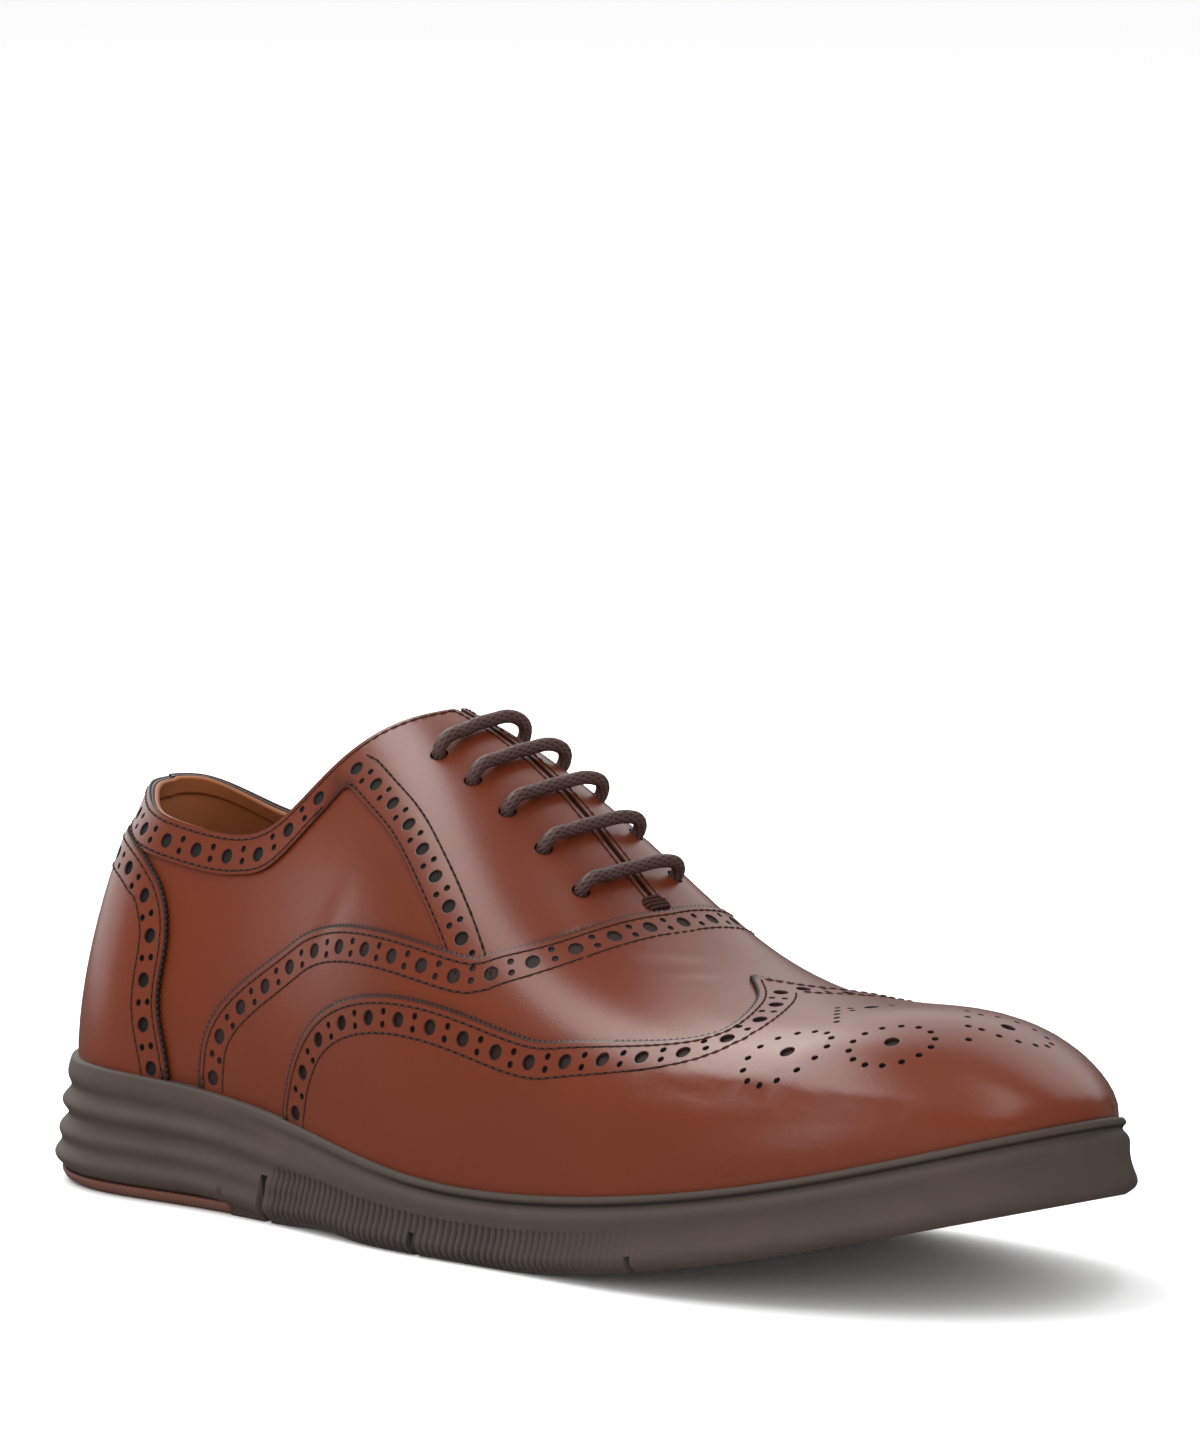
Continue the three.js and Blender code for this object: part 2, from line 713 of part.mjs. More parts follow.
const shoe = new THREE.Group();
const { sole, pad } = soleSolids();
addPiece(shoe, "sole", sole, colours.sole, 0.75);
addPiece(shoe, "heel_pad", pad, colours.pad, 0.7);
addPiece(shoe, "insole", insoleSolid(), colours.lining, 0.6);
addPiece(shoe, "upper", upperSolid(), colours.leather, 0.4);
addPiece(shoe, "wing_cap", wingCapSolid(), colours.cap, 0.35);
addPiece(shoe, "heel_counter", counterSolid(), colours.cap, 0.4);
addPiece(shoe, "tongue", tongueSolid(), colours.tongue, 0.5);
eyeletPlaces.forEach((p, i) => addPiece(shoe, `lace_bar_${i + 1}`, laceBar(p), colours.lace, 0.6));

export default shoe;
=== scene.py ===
"""A right wingtip oxford in burnished brown leather on a rubber unit sole, at its real size in metres.

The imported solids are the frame. Each leather panel is drawn on a flattened pattern of the last,
punched, edged and laid on the last again.
"""
import itertools
import math

import bpy
import numpy as np
from mathutils import Matrix, Vector
from mathutils.geometry import delaunay_2d_cdt


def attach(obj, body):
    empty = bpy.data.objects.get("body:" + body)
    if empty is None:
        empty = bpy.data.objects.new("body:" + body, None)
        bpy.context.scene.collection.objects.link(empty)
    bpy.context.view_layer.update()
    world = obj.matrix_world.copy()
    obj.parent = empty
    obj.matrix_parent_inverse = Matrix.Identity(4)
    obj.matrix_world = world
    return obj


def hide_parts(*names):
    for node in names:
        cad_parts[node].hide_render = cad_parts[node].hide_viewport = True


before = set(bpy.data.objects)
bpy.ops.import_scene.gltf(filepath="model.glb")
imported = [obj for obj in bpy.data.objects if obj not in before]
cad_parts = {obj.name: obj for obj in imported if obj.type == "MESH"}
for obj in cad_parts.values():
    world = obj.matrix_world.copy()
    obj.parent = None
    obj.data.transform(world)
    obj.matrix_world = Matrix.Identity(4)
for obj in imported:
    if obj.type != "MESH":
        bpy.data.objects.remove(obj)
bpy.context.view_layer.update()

bl_info = {
    "name": "Wingtip Oxford",
    "version": (1, 0, 0),
    "blender": (4, 5, 0),
    "location": "View3D > Sidebar > Shoe",
    "description": "Builds the leather panels, stitches, laces and sole of a wingtip oxford",
    "category": "Object",
}

BODY = "root"
MM = 0.001

# Shares of the last: see the size groups for the lengths that they multiply.
# Feather line: share of the length, outer half, inner half and swing as shares of the ball width.
OUTLINE = np.array([
    [0, 0, 0, -0.031],
    [0.03, 0.278, 0.272, -0.031],
    [0.1, 0.391, 0.383, -0.031],
    [0.2, 0.391, 0.39, -0.026],
    [0.32, 0.422, 0.368, -0.016],
    [0.45, 0.488, 0.38, -0.005],
    [0.58, 0.497, 0.452, 0],
    [0.7, 0.504, 0.494, 0],
    [0.8, 0.46, 0.473, 0],
    [0.9, 0.349, 0.406, 0],
    [0.97, 0.19, 0.229, 0],
    [1, 0, 0, 0],
])
# Feather line: share of the length and share of the heel rise.
FEATHER = np.array([[0, 1], [0.15, 0.985], [0.33, 0.81], [0.5, 0.597], [0.68, 0.708], [0.85, 1.016],
                    [1, 1.443]])
# Crown line: share of the length, share of the instep rise, shift as a share of the ball width.
CROWN = np.array([
    [0, 1.05, -0.03],
    [0.2, 1.128, 0.007],
    [0.3, 1.092, 0.045],
    [0.4, 0.997, 0.062],
    [0.5, 0.845, 0.03],
    [0.6, 0.655, 0.008],
    [0.7, 0.563, 0.008],
    [0.8, 0.553, 0.013],
    [0.9, 0.556, 0.012],
    [1, 0.482, 0],
])
# Section handles: share of the length, belly, side, outer crown, inner crown.
SECTION = np.array([
    [0, -0.018, 0.385, 0.48, 0.48],
    [0.2, 0.02, 0.425, 0.285, 0.25],
    [0.4, 0.097, 0.68, 0.53, 0.53],
    [0.55, 0.086, 0.8, 0.51, 0.53],
    [0.7, 0.066, 0.75, 0.6, 0.595],
    [0.85, 0.037, 0.61, 0.65, 0.64],
    [1, 0.008, 0.535, 0.65, 0.65],
])
HEEL_ROLL = (0.13, 0.42)  # collar at the heel: share set back and share drawn in at the sides
FOOT_TUCK = 0.02  # how far the panels run on below the feather line, as a share of the section
EYELET_UP = 0.785  # how far up the section the eyelets lie
RIDGE = (0.119, 0.829)  # shares of the length between which the crown line runs
# Topline: share of the length, share of the collar rise and share of the instep rise that add up.
OUTER_TOPLINE = np.array([
    [-0.06, 1, 0], [0, 1, 0], [0.05, 1, 0], [0.082, 0.975, 0], [0.112, 0.957, 0], [0.159, 0.938, 0],
    [0.205, 0.934, 0], [0.232, 0.956, 0], [0.252, 0.5, 0.424], [0.285, 0, 0.957],
    [0.318, 0, 1.041], [0.351, 0, 1.072],
])
INNER_TOPLINE = np.array([
    [-0.06, 1, 0], [0, 1, 0], [0.046, 1, 0], [0.082, 0.925, 0], [0.112, 0.893, 0], [0.159, 0.898, 0],
    [0.205, 0.926, 0], [0.232, 0.95, 0], [0.252, 0.5, 0.418], [0.285, 0, 0.95],
    [0.318, 0, 1.038], [0.351, 0, 1.072],
])
# Back edge of the facings: share of the length and share of the instep rise.
FACING = np.array([[0.311, 0.912], [0.348, 0.874], [0.382, 0.836], [0.417, 0.779], [0.453, 0.704],
                   [0.48, 0.634], [0.52, 0.5]])
# Edges of the vamp and the wing cap: height up the section and share of the length.
VAMP_EDGE = np.array([
    [-0.3, 0.206], [0.045, 0.206], [0.12, 0.214], [0.195, 0.247], [0.265, 0.298], [0.33, 0.373],
    [0.37, 0.473], [0.426, 0.52], [0.507, 0.541], [0.68, 0.565], [0.9, 0.574], [1, 0.576],
])
WING_EDGE = np.array([
    [-0.3, 0.314], [0.046, 0.315], [0.127, 0.334], [0.207, 0.386], [0.258, 0.468], [0.295, 0.552],
    [0.356, 0.61], [0.484, 0.678], [0.582, 0.722], [0.66, 0.734], [0.734, 0.732], [0.82, 0.722],
    [0.923, 0.699], [1, 0.669],
])
# Edge of the heel counter: share of the length and share of the collar rise.
COUNTER_EDGE = np.array([
    [0.17, 0.2], [0.167, 0.364], [0.154, 0.5], [0.153, 0.64], [0.144, 0.74], [0.125, 0.81],
    [0.1, 0.86], [0.064, 0.888], [0.03, 0.9], [-0.06, 0.905],
])
# Side of the sole from the tread up: height share, stand-out at the heel and at the toe in mm.
SOLE_EDGE = np.array([
    [0, 3.4, 2.6], [0.07, 5.2, 4.4], [0.3, 4.8, 4.8], [0.6, 3.5, 3.7], [0.8, 2.6, 2.9],
    [0.87, 2.4, 2.1], [0.93, 2.6, 2.9], [1, 1.9, 2.3],
])
# Slots across the tread: share of the length, width and depth in mm.
SLOTS = np.array([[0.297, 2.4, 11], [0.483, 2, 5.5], [0.716, 1.8, 4]])
# Panels: height of the face above the last and depth of the walls, in mm.
LAYERS = {"quarters": (-0.8, 0.9), "facings": (-0.1, 0.6), "vamp": (0.3, 0.45),
          "counter": (0.5, 0.9), "wing": (1.3, 1.0)}
# Lines inside a pinked edge, in mm from it: rim, rows of stitches and row of holes.
RIM_INSET = 0.45
STITCH_INSETS = (1.4, 8.1)
HOLE_INSET = 4.7
TOOTH = 0.7 * MM  # depth of a pinked tooth
LINE_STEP = 0.003  # pitch of the points of these lines, in metres
COLLAR = (0.18, 0.00028)  # flat ring round a hole: share of its radius, and its limit in metres
RIM_DROP = 0.06 * MM  # how much lower the cut rims lie
RIM_TILT = 0.2  # how far the normals lean outward there
PIT_DEPTH = 0.85  # depth of a hole's floor as a share of the walls


# Sizes and colours

def length(name, default, description):
    """A length property in metres."""
    return bpy.props.FloatProperty(name=name, default=default, description=description,
                                   unit="LENGTH", precision=4)


def colour(name, default, description):
    """A colour property in linear light."""
    return bpy.props.FloatVectorProperty(name=name, default=default, description=description,
                                         subtype="COLOR", size=3, min=0, max=1)


class ShoeLast(bpy.types.PropertyGroup):
    """Sizes of the last that every piece is laid on."""
    last_length: length("Length", 0.3013, "Feather line from the heel to the toe")
    ball_width: length("Ball width", 0.096, "Feather line across the ball")
    heel_rise: length("Heel rise", 0.0292, "Feather line above the ground at the heel")
    instep_rise: length("Instep rise", 0.108, "Crown of the instep above the ground")
    collar_rise: length("Collar rise", 0.091, "Topline above the ground at the heel")
    heel_seat: length("Heel seat", 0.041, "Back of the feather line to the origin")


class ShoeUpper(bpy.types.PropertyGroup):
    """Sizes of the leather panels and their decoration."""
    collar_band: length("Collar band", 0.009, "Width of the collar band")
    throat_gap: length("Throat gap", 0.0015, "Slit between the facings")
    throat_end: length("Throat end", 0.172, "Closed end of the slit, from the feather line's back")
    stitch: length("Stitch", 0.0024, "Length of one stitch")
    thread: length("Thread", 0.0005, "Width of the sewing thread")
    pinking: length("Pinking", 0.0015, "Pitch of the pinked teeth")
    punch: length("Punch pitch", 0.0101, "Pitch of the large brogue holes")
    large_hole: length("Large hole", 0.0034, "Diameter of a large brogue hole")
    small_hole: length("Small hole", 0.0016, "Diameter of a small brogue hole")


class ShoeLace(bpy.types.PropertyGroup):
    """Sizes of the lace and its eyelets."""
    lace_radius: length("Lace radius", 0.0016, "Half the thickness of the lace")
    eyelet_radius: length("Eyelet radius", 0.0021, "Radius of an eyelet")
    first_eyelet: length("First eyelet", 0.1123, "First eyelet, from the feather line's back")
    eyelet_pitch: length("Eyelet pitch", 0.0126, "From one eyelet to the next")
    lift: length("Lift", 0.00035, "Lace above the facings")
    arch: length("Arch", 0.0016, "Further lift of a bar beside its far eyelet")
    eyelet_count: bpy.props.IntProperty(name="Eyelets", default=5, description="Lace bars")


class ShoeSole(bpy.types.PropertyGroup):
    """Sizes of the sole."""
    toe_spring: length("Toe spring", 0.0245, "Ground to the tread under the toe")
    wave: length("Heel waves", 0.0009, "Half depth of the waves round the heel")
    rib: length("Side ribs", 0.00045, "Depth of the fine ribs on the sides")
    rib_pitch: length("Rib pitch", 0.0021, "From one fine rib to the next")
    pad_length: length("Pad length", 0.076, "Heel pad, from the back of the feather line")
    pad: length("Pad thickness", 0.003, "Thickness of the heel pad")


class ShoeColours(bpy.types.PropertyGroup):
    """Colours of the finishes."""
    leather: colour("Leather", (0.12, 0.0205, 0.005), "Burnished upper leather")
    # Dark leather is both the real burnish along the cut edges and painted shade on cut walls, hole
    # rims and pit floors.
    leather_dark: colour("Dark leather", (0.042, 0.0085, 0.0035), "Burnish along the edges")
    lining: colour("Lining", (0.31, 0.1, 0.03), "Lining leather")
    thread: colour("Thread", (0.05, 0.018, 0.012), "Sewing thread")
    sole: colour("Sole", (0.054, 0.035, 0.026), "Sole rubber")
    pad: colour("Heel pad", (0.12, 0.038, 0.022), "Heel pad rubber")
    lace: colour("Lace", (0.095, 0.042, 0.035), "Waxed lace")
    floor: colour("Floor", (0.95, 0.95, 0.95), "Studio floor")


GROUPS = {"shoe_last": ShoeLast, "shoe_upper": ShoeUpper, "shoe_lace": ShoeLace,
          "shoe_sole": ShoeSole, "shoe_colours": ShoeColours}


# Curves and the last

def spline(xs, ys, samples=1500):
    """Natural cubic spline through the points, kept as a fine table."""
    xs = np.asarray(xs, float)
    ys = np.asarray(ys, float)
    gap = np.diff(xs)
    count = len(xs)
    system = np.eye(count)
    inner = np.arange(1, count - 1)
    system[inner, inner - 1] = gap[:-1]
    system[inner, inner] = 2 * (gap[:-1] + gap[1:])
    system[inner, inner + 1] = gap[1:]
    change = np.zeros(count)
    change[1:-1] = 6 * np.diff(np.diff(ys) / gap)
    bend = np.linalg.solve(system, change)
    x = np.linspace(xs[0], xs[-1], samples)
    i = np.clip(np.searchsorted(xs, x) - 1, 0, count - 2)
    a = (xs[i + 1] - x) / gap[i]
    b = 1 - a
    cubic = ((a ** 3 - a) * bend[i] + (b ** 3 - b) * bend[i + 1]) * gap[i] ** 2 / 6
    y = a * ys[i] + b * ys[i + 1] + cubic
    return lambda value: np.interp(value, x, y)


def smoothstep(value, low, high):
    """0 below low, 1 above high and a smooth ramp between."""
    t = np.clip((value - low) / (high - low), 0, 1)
    return t * t * (3 - 2 * t)


def turn(share):
    """Station of a share of the length: stations are spaced as on a half circle."""
    return np.arccos(1 - 2 * np.clip(share, 0, 1)) / np.pi


def share_at(p):
    """Share of the length at a station."""
    return (1 - np.cos(np.pi * np.clip(p, 0, 1))) / 2


def unit(vectors):
    """Vectors scaled to length one."""
    size = np.linalg.norm(vectors, axis=-1, keepdims=True)
    return vectors / np.maximum(size, 1e-12)


def by_side(side, at, stations, tables):
    """Table value at the stations: the first table on the outer side, the second on the inner."""
    return np.where(side < 0, np.interp(at, stations, tables[0]), np.interp(at, stations, tables[1]))


def bisect(low, high, test):
    """Narrows each pair of bounds to the place where the test turns true on the way up."""
    for _ in range(30):
        middle = (low + high) / 2
        hit = test(middle)
        low, high = np.where(hit, low, middle), np.where(hit, middle, high)
    return (low + high) / 2


def run_along(points):
    """Run along a line of points, from the first one to each."""
    return np.concatenate([[0], np.cumsum(np.linalg.norm(np.diff(points, axis=0), axis=1))])


class Last:
    """The shoe form. A point is given by its station p, its side (-1 outer, 1 inner) and how far
    up the section it lies, from the feather line at 0 to the crown line at 1."""

    def __init__(self, size):
        self.size = size
        stations = turn(OUTLINE[:, 0])
        self.outer_half, self.inner_half, self.swing = [
            spline(stations, OUTLINE[:, i] * size.ball_width) for i in (1, 2, 3)]
        self.feather = spline(FEATHER[:, 0], FEATHER[:, 1] * size.heel_rise)
        self.crown = spline(CROWN[:, 0], CROWN[:, 1] * size.instep_rise)
        self.crown_shift = spline(CROWN[:, 0], CROWN[:, 2] * size.ball_width)
        self.belly, self.side_handle, self.outer_handle, self.inner_handle = [
            spline(SECTION[:, 0], SECTION[:, i]) for i in (1, 2, 3, 4)]

    def place(self, share):
        """X of a share of the length."""
        return share * self.size.last_length - self.size.heel_seat

    def share_of(self, x):
        """Share of the length of an X."""
        return (x + self.size.heel_seat) / self.size.last_length

    def foot(self, p, side):
        """Point of the feather line."""
        half = np.where(side < 0, self.outer_half(p), self.inner_half(p))
        share = share_at(p)
        return np.stack([self.place(share), self.swing(p) + side * half, self.feather(share)], -1)

    def point(self, p, side, up):
        """Each section is a cubic curve from the feather line to the crown line; below the
        feather line it goes straight down."""
        p, side, up = np.broadcast_arrays(p, side, up)
        foot = self.foot(p, side)
        share = share_at(p)
        spine = np.clip(share, *RIDGE)
        spine_x = self.place(spine)
        spine_y = self.crown_shift(spine)
        rising = np.clip(up, 0, 1)
        down = 1 - rising
        handle = np.where(side < 0, self.outer_handle(share), self.inner_handle(share))
        inward = (down ** 3 + 3 * down ** 2 * rising * (1 + self.belly(share))
                  + 3 * down * rising ** 2 * handle)
        rise = (3 * down ** 2 * rising * self.side_handle(share) + 3 * down * rising ** 2
                + rising ** 3 + np.minimum(up, 0))
        rolled = smoothstep(up, 0.4, 0.57) * (1 - smoothstep(up, 0.7, 1))
        rolled = rolled * (1 - smoothstep(share, -0.02, 0.16))
        inward = inward + HEEL_ROLL[0] * rolled
        pinch = 1 - HEEL_ROLL[1] * rolled
        x = spine_x + (foot[..., 0] - spine_x) * inward
        y = spine_y + (foot[..., 1] - spine_y) * inward * pinch
        z = foot[..., 2] + (self.crown(self.share_of(x)) - foot[..., 2]) * rise
        return np.stack([x, y, z], -1)

    def up_at_height(self, p, side, height, offset=0.0):
        """How far up each section reaches the height, which is a function of the X share."""
        def above(up):
            point = self.point(p, side, up)
            return point[..., 2] > height(self.share_of(point[..., 0])) + offset

        return bisect(np.zeros_like(p), np.ones_like(p), above)

    def up_at_gap(self, p, side, gap):
        """How far up each section comes within a distance of the crown line, measured across."""
        def near(up):
            point = self.point(p, side, up)
            return np.abs(point[..., 1] - self.crown_shift(self.share_of(point[..., 0]))) < gap

        return bisect(np.full_like(p, 0.6), np.ones_like(p), near)


class Pattern:
    """The last laid flat, in metres. Lengths up each section are kept true."""
    STATIONS = np.linspace(0, 1, 241)
    FRACTIONS = np.linspace(0, 1, 121)

    def __init__(self, last):
        self.last = last
        grids = [last.point(self.STATIONS[:, None], side, self.FRACTIONS) for side in (-1, 1)]
        steps = [np.linalg.norm(np.diff(grid, axis=1), axis=-1) for grid in grids]
        run = [np.pad(np.cumsum(step, axis=1), ((0, 0), (1, 0))) for step in steps]
        self.total = [lengths[:, -1] for lengths in run]
        self.up_table = [
            np.stack([np.interp(self.FRACTIONS * row[-1], row, self.FRACTIONS) for row in lengths])
            for lengths in run
        ]
        self.run = run

    def section_length(self, p, side):
        """Length of the section from the feather line to the crown line."""
        return by_side(side, p, self.STATIONS, self.total)

    def _table(self, tables, p, side, fraction):
        """Bilinear reading of one table for each side."""
        i = np.clip(p, 0, 1) * (len(self.STATIONS) - 1)
        j = np.clip(fraction, 0, 1) * (len(self.FRACTIONS) - 1)
        i0 = np.minimum(i.astype(int), len(self.STATIONS) - 2)
        j0 = np.minimum(j.astype(int), len(self.FRACTIONS) - 2)
        fi, fj = i - i0, j - j0
        read = [
            (t[i0, j0] * (1 - fi) + t[i0 + 1, j0] * fi) * (1 - fj)
            + (t[i0, j0 + 1] * (1 - fi) + t[i0 + 1, j0 + 1] * fi) * fj
            for t in tables
        ]
        return np.where(side < 0, read[0], read[1])

    def up_of(self, p, side, fraction):
        """Section parameter at a fraction of the section's length."""
        return self._table(self.up_table, p, side, fraction) + np.minimum(fraction, 0)

    def length_of(self, p, side, up):
        """Length up the section at a section parameter."""
        below = np.minimum(up, 0) * self.section_length(p, side)
        return self._table(self.run, p, side, up) + below

    def frame_at(self, ab):
        """Points, both tangents and the outward normals of the last at pattern places."""
        h = 0.0004
        base = self.to_last(ab)
        along = (self.to_last(ab + [h, 0]) - self.to_last(ab - [h, 0])) / (2 * h)
        across = (self.to_last(ab + [0, h]) - self.to_last(ab - [0, h])) / (2 * h)
        return base, along, across, unit(np.cross(along, across)) * self.facing

    def skin(self, ab, offset):
        """Points at an offset outside the last with its soft relief."""
        base, _, _, normal = self.frame_at(ab)
        return base + normal * (offset + relief(base))[..., None]

    def skin_normal(self, ab):
        """Outward normals of the relieved surface."""
        h = 0.0006
        along = self.skin(ab + [h, 0], 0.0) - self.skin(ab - [h, 0], 0.0)
        across = self.skin(ab + [0, h], 0.0) - self.skin(ab - [0, h], 0.0)
        return unit(np.cross(along, across)) * self.facing

    def shift(self, ab, vector):
        """Moves pattern places by tangent vectors of the last: the pattern step d solves
        along * d0 + across * d1 = vector in the least squares sense."""
        _, along, across, _ = self.frame_at(ab)
        aa = (along * along).sum(-1)
        bb = (across * across).sum(-1)
        cc = (along * across).sum(-1)
        va = (along * vector).sum(-1)
        vb = (across * vector).sum(-1)
        det = aa * bb - cc * cc
        return ab + np.stack([(va * bb - vb * cc) / det, (vb * aa - va * cc) / det], -1)


class HeelPattern(Pattern):
    """Unrolled round the heel: across is the run of the feather line, negative on the outer side,
    and up is the length of the section above it."""
    facing = -1

    def __init__(self, last):
        super().__init__(last)
        self.girth = [run_along(last.foot(self.STATIONS, side)[:, :2]) for side in (-1, 1)]

    def lay(self, p, side, up):
        """Pattern place of a point of the last."""
        p, side, up = np.broadcast_arrays(p, side, up)
        across = side * by_side(side, p, self.STATIONS, self.girth)
        return np.stack([across, self.length_of(p, side, up)], -1)

    def to_last(self, ab):
        """Point of the last at a pattern place."""
        a, b = ab[..., 0], ab[..., 1]
        side = np.where(a < 0, -1, 1)
        outer = np.interp(-a, self.girth[0], self.STATIONS)
        inner = np.interp(a, self.girth[1], self.STATIONS)
        p = np.where(side < 0, outer, inner)
        fraction = b / self.section_length(p, side)
        return self.last.point(p, side, self.up_of(p, side, fraction))


class FrontPattern(Pattern):
    """Unrolled from the crown line: along is X back to the toe's pole and fans round it in front,
    and across is the length of the section down from the crown line, negative on the outer side."""
    facing = 1

    def __init__(self, last):
        super().__init__(last)
        self.pole = np.array([last.place(RIDGE[1]), last.crown_shift(RIDGE[1])])
        self.ridge_station = turn(RIDGE[1])
        self.fan_stations = np.linspace(self.ridge_station, 1, 200)
        arms = [last.foot(self.fan_stations, side)[:, :2] - self.pole for side in (-1, 1)]
        self.fan = [np.arctan2(arm[:, 1], arm[:, 0]) for arm in arms]

    def lay(self, p, side, up):
        """Pattern place of a point of the last."""
        p, side, up = np.broadcast_arrays(p, side, up)
        down = self.section_length(p, side) - self.length_of(p, side, up)
        angle = by_side(side, p, self.fan_stations, self.fan)
        fanned = p > self.ridge_station
        x = np.where(fanned, self.pole[0] + down * np.cos(angle), self.last.place(share_at(p)))
        y = np.where(fanned, down * np.sin(angle), side * down)
        return np.stack([x, y], -1)

    def to_last(self, ab):
        """Point of the last at a pattern place."""
        a, b = ab[..., 0], ab[..., 1]
        ahead = a - self.pole[0]
        fanned = ahead > 0
        angle = np.arctan2(b, np.maximum(ahead, 1e-9))
        middle = self.fan[0][-1]
        side = np.where(fanned, np.where(angle < middle, -1, 1), np.where(b < 0, -1, 1))
        outer = np.interp(angle, self.fan[0], self.fan_stations)
        inner = np.interp(-angle, -self.fan[1], self.fan_stations)
        fan_station = np.where(side < 0, outer, inner)
        p = np.where(fanned, fan_station, turn(self.last.share_of(a)))
        down = np.where(fanned, np.hypot(ahead, b), np.abs(b))
        fraction = 1 - down / self.section_length(p, side)
        return self.last.point(p, side, self.up_of(p, side, fraction))


# Soft creases of the leather: ends in mm, depth (a ridge where it is negative) and half width.
CREASES = [
    ((172, -43.5, 44), (236, -29, 43), 0.75, 2.6),
    ((176, -41, 48), (232, -30, 47), -0.35, 3.0),
    ((186, -45, 39), (238, -29, 40), -0.4, 2.2),
    ((146, -20, 63.5), (158, -5, 63.5), 0.16, 1.0),
    ((150, -19, 61.5), (163, -4, 61), 0.14, 0.9),
    ((141, -17, 67.5), (150, -2, 66.5), 0.12, 1.1),
    ((155, -21, 58), (166, -9, 59.5), 0.1, 0.9),
    ((60, -37, 62), (66, -37, 80), 0.25, 4.0),
    ((96, -37, 60), (90, -33, 82), -0.25, 5.0),
    ((146, 20, 63.5), (158, 7, 63.5), 0.16, 1.0),
    ((172, 43, 44), (230, 32, 43), 0.5, 3.0),
]


def relief(points):
    """Soft creases of the worn-in leather, as an offset for each point: the sum over the creases
    of -depth * exp(-(d / width)^2), with d the distance to the crease, fading to its ends."""
    total = np.zeros(points.shape[:-1])
    for first, last, depth, width in CREASES:
        first, last = np.array(first) * MM, np.array(last) * MM
        along = last - first
        run = ((points - first) @ along) / (along @ along)
        near = np.clip(run, 0, 1)
        gap = np.linalg.norm(points - first - near[..., None] * along, axis=-1)
        fade = np.sin(np.pi * np.clip(run * 0.86 + 0.07, 0, 1)) ** 0.7
        total -= depth * MM * fade * np.exp(-(gap / (width * MM)) ** 2)
    return total


# Lines on the pattern

def smooth_line(points, count=400):
    """A natural spline through the points, run by chord length."""
    chord = run_along(points)
    at = np.linspace(0, chord[-1], count)
    return np.stack([spline(chord, points[:, i])(at) for i in range(points.shape[1])], -1)


def cut_at(line, run, at):
    """Points of a pattern line at places along its run."""
    return np.stack([np.interp(at, run, line[:, i]) for i in range(2)], -1)


def even(pattern, line, pitch, closed_ends=True):
    """The line cut into equal runs on the last, close to the pitch. Without closed ends it gives
    the middle of each run."""
    run = run_along(pattern.to_last(line))
    count = max(int(round(run[-1] / pitch)), 1)
    at = np.linspace(0, run[-1], count + 1)
    if not closed_ends:
        at = (at[1:] + at[:-1]) / 2
    return cut_at(line, run, at)


def tangents(pattern, line):
    """Unit tangents of the line on the last, unit vectors to its left, and normals."""
    points = pattern.to_last(line)
    _, _, _, normal = pattern.frame_at(line)
    ahead = unit(np.gradient(points, axis=0))
    return ahead, unit(np.cross(normal, ahead)), normal


def beside(pattern, line, distance):
    """The line moved sideways on the last, to its left where the distance is positive."""
    _, left, _ = tangents(pattern, line)
    distance = np.broadcast_to(distance, line.shape[:1])
    return pattern.shift(line, left * distance[:, None])


def pinked(pattern, line, pitch, depth):
    """The line with pointed teeth to its right."""
    run = run_along(pattern.to_last(line))
    teeth = int(round(run[-1] / pitch))
    at = np.linspace(0, run[-1], 2 * teeth + 1)
    out = np.where(np.arange(2 * teeth + 1) % 2 == 1, -depth, 0.0)
    return beside(pattern, cut_at(line, run, at), out)


def circles(pattern, centres, radius, steps):
    """Round loops of a radius on the last about the centres."""
    _, along, _, normal = pattern.frame_at(centres)
    first = unit(along)
    second = np.cross(normal, first)
    angle = np.linspace(0, 2 * np.pi, steps, endpoint=False)[None, :, None]
    reach = radius * (np.cos(angle) * first[:, None] + np.sin(angle) * second[:, None])
    return pattern.shift(np.repeat(centres[:, None], steps, 1), reach)


def inside(points, loop):
    """Which points lie inside a closed loop, by counting crossings."""
    x, y = points[:, 0, None], points[:, 1, None]
    x0, y0 = loop[:, 0], loop[:, 1]
    x1, y1 = np.roll(x0, -1), np.roll(y0, -1)
    spans = (y0 > y) != (y1 > y)
    rise = np.where(y1 == y0, 1, y1 - y0)
    crossing = x0 + (y - y0) * (x1 - x0) / rise
    return (spans & (x < crossing)).sum(1) % 2 == 1


# Meshes

def add_piece(name, points, faces, material, tone=None, normals=None, replaced=()):
    """Makes a smooth-shaded mesh object that rides on the shoe. Faces are arrays of triangles or
    quads; tone darkens cut edges, partly as their real burnish and partly as painted shade, and
    paints shade into grooves, holes and stitch ends."""
    mesh = bpy.data.meshes.new(name)
    lists = list(itertools.chain.from_iterable(array.tolist() for array in faces))
    mesh.from_pydata(points.tolist(), [], lists)
    mesh.polygons.foreach_set("use_smooth", np.ones(len(mesh.polygons), bool))
    shade = mesh.attributes.new("tone", "FLOAT", "POINT")
    shade.data.foreach_set("value", np.zeros(len(points)) if tone is None else tone)
    if normals is not None:
        mesh.normals_split_custom_set(np.concatenate([n.reshape(-1, 3) for n in normals]))
    mesh.materials.append(material)
    piece = bpy.data.objects.new(name, mesh)
    bpy.context.scene.collection.objects.link(piece)
    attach(piece, BODY)
    if replaced:
        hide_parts(*replaced)
    return piece


def grid_faces(rows, columns, wrap_rows=False, wrap_columns=False, start=0):
    """Quads of a grid of points in row order."""
    i = np.arange(rows if wrap_rows else rows - 1)[:, None]
    j = np.arange(columns if wrap_columns else columns - 1)[None, :]
    i1, j1 = (i + 1) % rows, (j + 1) % columns
    quads = np.stack(np.broadcast_arrays(i * columns + j, i * columns + j1,
                                         i1 * columns + j1, i1 * columns + j), -1)
    return quads.reshape(-1, 4) + start


